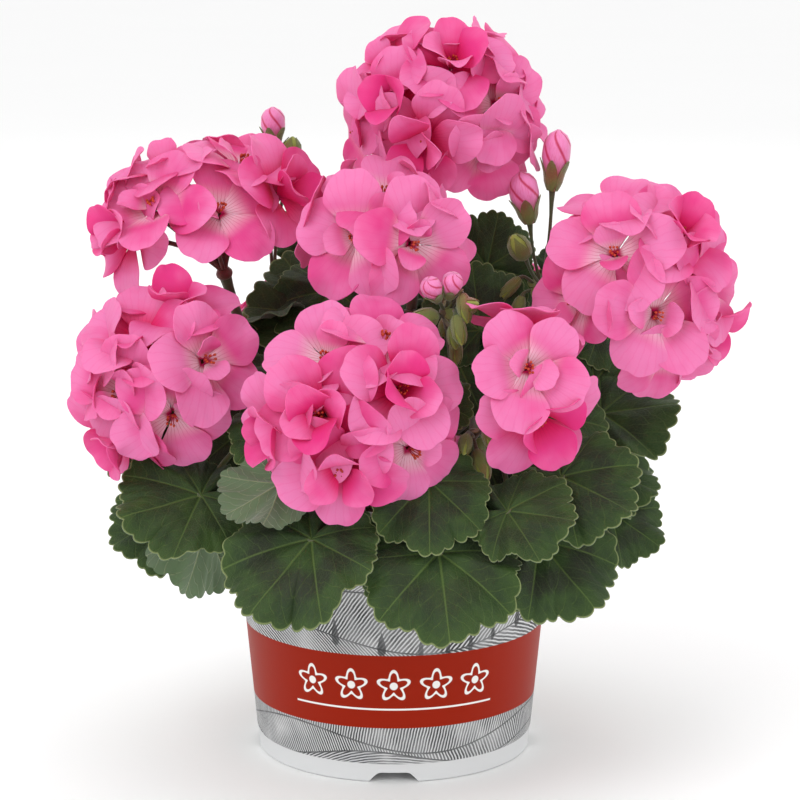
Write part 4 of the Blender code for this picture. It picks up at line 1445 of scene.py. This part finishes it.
    def bract(self, shape, hub, way, number, rng):
        """A small papery leaf under the pedicels."""
        t, v = patch(5, 4)
        reach = 1.8 * MM + rng.uniform(5, 8) * MM * t * 0.8
        droop = 2.4 * MM * np.sin(np.pi * t * 0.6) - 1.0 * MM
        width = 2.2 * MM * np.sin(np.pi * (0.2 + 0.77 * t)) * v
        out = spoke(way, number * math.tau / 5)
        add_scale_leaf(shape, hub, (reach, droop, width), (out, way, np.cross(way, out)), number)


BLADE_RINGS = (0.06, 0.16, 0.3, 0.45, 0.6, 0.74, 0.86, 0.95, 1.0)
PETIOLE_SINK = 0.3 * MM
BLADE_THINNING = (1.6, 1.4, 1.2, 1.1, 1.0, 1.0, 0.9, 0.8, 0.55)


def blade_outline(angle, teeth, rng):
    """The blade's reach at each angle from its tip: lobed, scalloped and cut to its base."""
    reach = 1 - 0.22 * (1 - np.cos(angle))
    reach = reach * (1 - 0.11 * (1 - np.abs(np.cos(4 * angle)) ** 0.6))
    scallop = np.abs(np.sin(teeth / 2 * angle + rng.uniform(0, 0.6))) ** 0.7
    reach = reach * (1 - 0.06 * (1 - scallop))
    reach = reach * (1 + 0.015 * np.sin(5 * angle + rng.uniform(0, 6)))
    off = math.pi - np.abs(angle)
    return reach * (1 - 0.84 * np.exp(-((off / 0.17) ** 2)))


def blade_grid(leaf, placed, rng):
    """Points on the blade's upper side, ring by ring from near its hub, and their places."""
    angle = np.linspace(-math.pi, math.pi, leaf.segments, endpoint=False)[None, :]
    share = np.array(BLADE_RINGS)[:, None]
    outline = blade_outline(angle, leaf.teeth, rng)
    true = smooth(share / 0.7)
    reach = placed.size * share * (outline * true + (1 - true) * np.maximum(outline, 0.5))
    phase = rng.uniform(0, math.tau, 4)
    rise = 0.16 * share - 0.22 * share**2 + 0.06 * share**2 * np.cos(5 * angle)
    rise = rise - 0.02 * smooth(share / 0.5) * np.cos(8 * angle)
    ruffle = 0.045 * np.sin(7 * angle + phase[0]) + 0.028 * np.sin(12 * angle + phase[1])
    rise = rise + smooth((share - 0.45) / 0.55) * ruffle
    rise = rise + 0.03 * share * np.sin(2 * angle + phase[2])
    rise = rise + 0.02 * share**2 * np.sin(3 * angle + phase[3])
    eighth = math.pi / 4
    sector = (angle + eighth / 2) % eighth - eighth / 2
    groove = np.exp(-((share * np.sin(sector) / 0.022) ** 2)) * (np.abs(angle) < 0.9 * math.pi)
    rise = rise - 0.011 * groove * (1 - 0.6 * share)
    flat = np.cos(angle)[:, :, None] * placed.tip + np.sin(angle)[:, :, None] * placed.side
    points = placed.hub + flat * reach[:, :, None]
    points = points + placed.face * (placed.size * rise)[:, :, None]
    seed = np.full_like(reach, rng.uniform(0, 1))
    return points, np.stack((share * np.cos(angle), share * np.sin(angle), seed), 2)


def add_blade(shape, leaf, placed, rng):
    """The blade as a closed solid: finish 0 on its upper side and 1 on its lower side."""
    upper, places = blade_grid(leaf, placed, rng)
    rings, segments = upper.shape[:2]
    lower = upper - placed.face * (leaf.thickness * np.array(BLADE_THINNING))[:, None, None]
    pole = placed.hub + placed.face * 0.1 * MM
    ends = (0, 0, places[0, 0, 2])
    points = np.vstack((pole, upper.reshape(-1, 3), lower[::-1].reshape(-1, 3), pole - placed.face * MM))
    values = np.vstack((ends, places.reshape(-1, 3), places[::-1].reshape(-1, 3), ends))
    faces = ball_faces(2 * rings, segments)
    shape.add(points, faces, values)
    below = len(faces) - rings * segments
    shape.finishes[-below:] = [1] * below


# The leaves between the flower heads and behind them: the hub in millimetres, the way the upper
# side faces, the way the tip points and the length from hub to tip in millimetres.
INNER_LEAVES = (
    ((42, 18, 172), (-0.1, -0.8, 0.6), (0.3, -0.3, -0.9), 33),
    ((66, 32, 182), (0.2, -0.8, 0.6), (0.6, 0.0, -0.8), 31),
    ((80, 8, 146), (0.3, -0.8, 0.5), (0.8, -0.2, -0.6), 36),
    ((24, -12, 160), (0.0, -0.9, 0.4), (0.4, -0.2, -0.9), 30),
    ((58, -2, 138), (0.1, -0.8, 0.5), (0.2, -0.3, -0.9), 34),
    ((-58, -28, 134), (-0.1, -0.8, 0.6), (-0.1, -0.4, -0.9), 28),
    ((34, -32, 128), (0.1, -0.8, 0.6), (0.3, -0.4, -0.9), 31),
    ((84, 24, 168), (0.4, -0.7, 0.6), (0.9, 0.0, -0.4), 29),
    ((-24, 14, 182), (-0.2, -0.8, 0.6), (-0.6, -0.2, -0.8), 30),
    ((-40, 2, 158), (-0.3, -0.8, 0.6), (-0.6, -0.3, -0.7), 30),
    ((4, 58, 134), (0.1, 0.5, 0.9), (-0.1, 0.9, -0.3), 28),
    ((-68, 44, 140), (-0.5, 0.4, 0.8), (-0.8, 0.5, -0.3), 33),
    ((-80, 2, 138), (-0.6, 0.1, 0.8), (-0.9, 0.2, -0.4), 30),
    ((10, 36, 170), (0.1, 0.5, 0.9), (0.4, 0.9, -0.2), 30),
    ((-46, 18, 170), (-0.3, 0.4, 0.9), (-0.8, 0.4, -0.1), 30),
)

class GERANIUM_OT_leaves(Operator):
    """The leaves: scalloped, zoned blades with grooved veins, each on its petiole"""

    bl_idname = "geranium.leaves"
    bl_label = "Leaves"

    def execute(self, context):
        leaf = context.scene.geranium_leaf
        stem = context.scene.geranium_stem
        petiole = stalk_finish("petiole_skin", linear(84, 96, 48), linear(96, 56, 38), 0.42)
        self.finishes = [blade_finish(leaf), under_finish(leaf), petiole]
        self.radii = stem.petiole_radius * graded(20, (0, 0.06, 0.8, 1), (1.5, 1.0, 1.0, 1.35))
        for order, node in enumerate(nodes_of("leaf_")):
            placed = LeafFrame(node)
            path = eased_path([placed.hub - placed.face * PETIOLE_SINK, *placed.petiole], 20)
            self.grow(node + "_grown", leaf, placed, path, order, 500, node)
        trunk = Welded("main_stem").points
        for order, row in enumerate(INNER_LEAVES):
            placed, path = self.inner_leaf(trunk, *row)
            self.grow(f"inner_leaf_{order + 1}", leaf, placed, path, order, 700)
        return {"FINISHED"}

    def grow(self, name, leaf, placed, path, order, draw, *nodes):
        """A blade and its petiole as one piece. Its draws start from draw plus its order."""
        shape = Shape()
        add_blade(shape, leaf, placed, np.random.default_rng(draw + order))
        add_tube(shape, path, self.radii, 10, seed=order, finish=2)
        shape.build(name, self.finishes, "leaf", *nodes)

    def inner_leaf(self, trunk, place, face, tip, size):
        """A leaf between the others, and its petiole from the nearest part of the main stem."""
        hub = mm(*place)
        face = unit(np.array(face))
        tip = unit(np.array(tip) - face * np.dot(tip, face))
        foot = trunk[np.argmin(np.linalg.norm(trunk - hub, axis=1))]
        start = hub - face * PETIOLE_SINK
        placed = SimpleNamespace(hub=hub, face=face, tip=tip, side=np.cross(tip, face), size=size * MM)
        return placed, bow(start, -face, foot, unit(foot - start), 20, 0.35)


class GERANIUM_OT_stage(Operator):
    """The pale floor, the soft studio light and the camera"""

    bl_idname = "geranium.stage"
    bl_label = "Stage"

    def execute(self, context):
        stage = context.scene.geranium_stage
        self.floor(stage)
        self.light("key", (-0.9, -1.2, 1.5), 1.4, 12.0)
        self.light("fill", (1.3, -1.0, 0.8), 1.4, 3.5)
        self.light("back", (0.3, 1.4, 1.3), 1.6, 5.0)
        world = bpy.data.worlds.new("studio")
        world.use_nodes = True
        background = world.node_tree.nodes["Background"]
        background.inputs["Color"].default_value = (1.0, 1.0, 1.0, 1.0)
        background.inputs["Strength"].default_value = 1.0
        context.scene.world = world
        data = bpy.data.cameras.new("camera")
        data.lens = stage.lens
        camera = bpy.data.objects.new("camera", data)
        camera.location = (stage.camera_side, -stage.camera_distance, stage.camera_height)
        camera.rotation_euler = (math.pi / 2 - stage.camera_pitch, 0, 0)
        context.scene.collection.objects.link(camera)
        context.scene.camera = camera
        context.scene.view_settings.view_transform = "Standard"
        context.scene.view_settings.look = "None"
        return {"FINISHED"}

    def floor(self, stage):
        mesh = bpy.data.meshes.new("floor")
        bm = bmesh.new()
        bmesh.ops.create_circle(bm, cap_ends=True, segments=96, radius=6.0)
        bm.to_mesh(mesh)
        bm.free()
        finish = Finish("floor")
        cloud = finish.noise(finish.object_place(), 3.0, 2.0)
        near = tuple(value * 0.985 for value in stage.backdrop)
        inputs = {"Base Color": finish.mix(cloud, near, tuple(stage.backdrop)), "Roughness": 0.8}
        mesh.materials.append(finish.surface(inputs))
        floor = bpy.data.objects.new("floor", mesh)
        floor.location.z = -0.1 * MM
        bpy.context.scene.collection.objects.link(floor)

    def light(self, name, place, width, power):
        data = bpy.data.lights.new(name, "AREA")
        data.shape = "DISK"
        data.size = width
        data.energy = power
        light = bpy.data.objects.new(name, data)
        light.location = place
        aim = Vector((0, 0, 0.15)) - light.location
        light.rotation_euler = aim.to_track_quat("-Z", "Y").to_euler()
        bpy.context.scene.collection.objects.link(light)


OPERATORS = (
    GERANIUM_OT_pot,
    GERANIUM_OT_soil,
    GERANIUM_OT_stem,
    GERANIUM_OT_flower_heads,
    GERANIUM_OT_buds,
    GERANIUM_OT_leaves,
    GERANIUM_OT_stage,
)

PROPERTIES = {
    "geranium_pot": PotProperties,
    "geranium_soil": SoilProperties,
    "geranium_stem": StemProperties,
    "geranium_leaf": LeafProperties,
    "geranium_flower": FlowerProperties,
    "geranium_stage": StageProperties,
}


class GERANIUM_PT_panel(bpy.types.Panel):
    """Lists the pieces of the geranium"""

    bl_label = "Potted geranium"
    bl_idname = "GERANIUM_PT_panel"
    bl_space_type = "VIEW_3D"
    bl_region_type = "UI"
    bl_category = "Geranium"

    def draw(self, context):
        for operator in OPERATORS:
            self.layout.operator(operator.bl_idname)


def register():
    for owner in (*PROPERTIES.values(), *OPERATORS, GERANIUM_PT_panel):
        bpy.utils.register_class(owner)
    for name, owner in PROPERTIES.items():
        setattr(bpy.types.Scene, name, PointerProperty(type=owner))


def unregister():
    for name in PROPERTIES:
        delattr(bpy.types.Scene, name)
    for owner in reversed((*PROPERTIES.values(), *OPERATORS, GERANIUM_PT_panel)):
        bpy.utils.unregister_class(owner)


def main():
    register()
    bpy.ops.geranium.pot()
    bpy.ops.geranium.soil()
    bpy.ops.geranium.stem()
    bpy.ops.geranium.flower_heads()
    bpy.ops.geranium.buds()
    bpy.ops.geranium.leaves()
    bpy.ops.geranium.stage()
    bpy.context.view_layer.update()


if __name__ == "__main__":
    main()
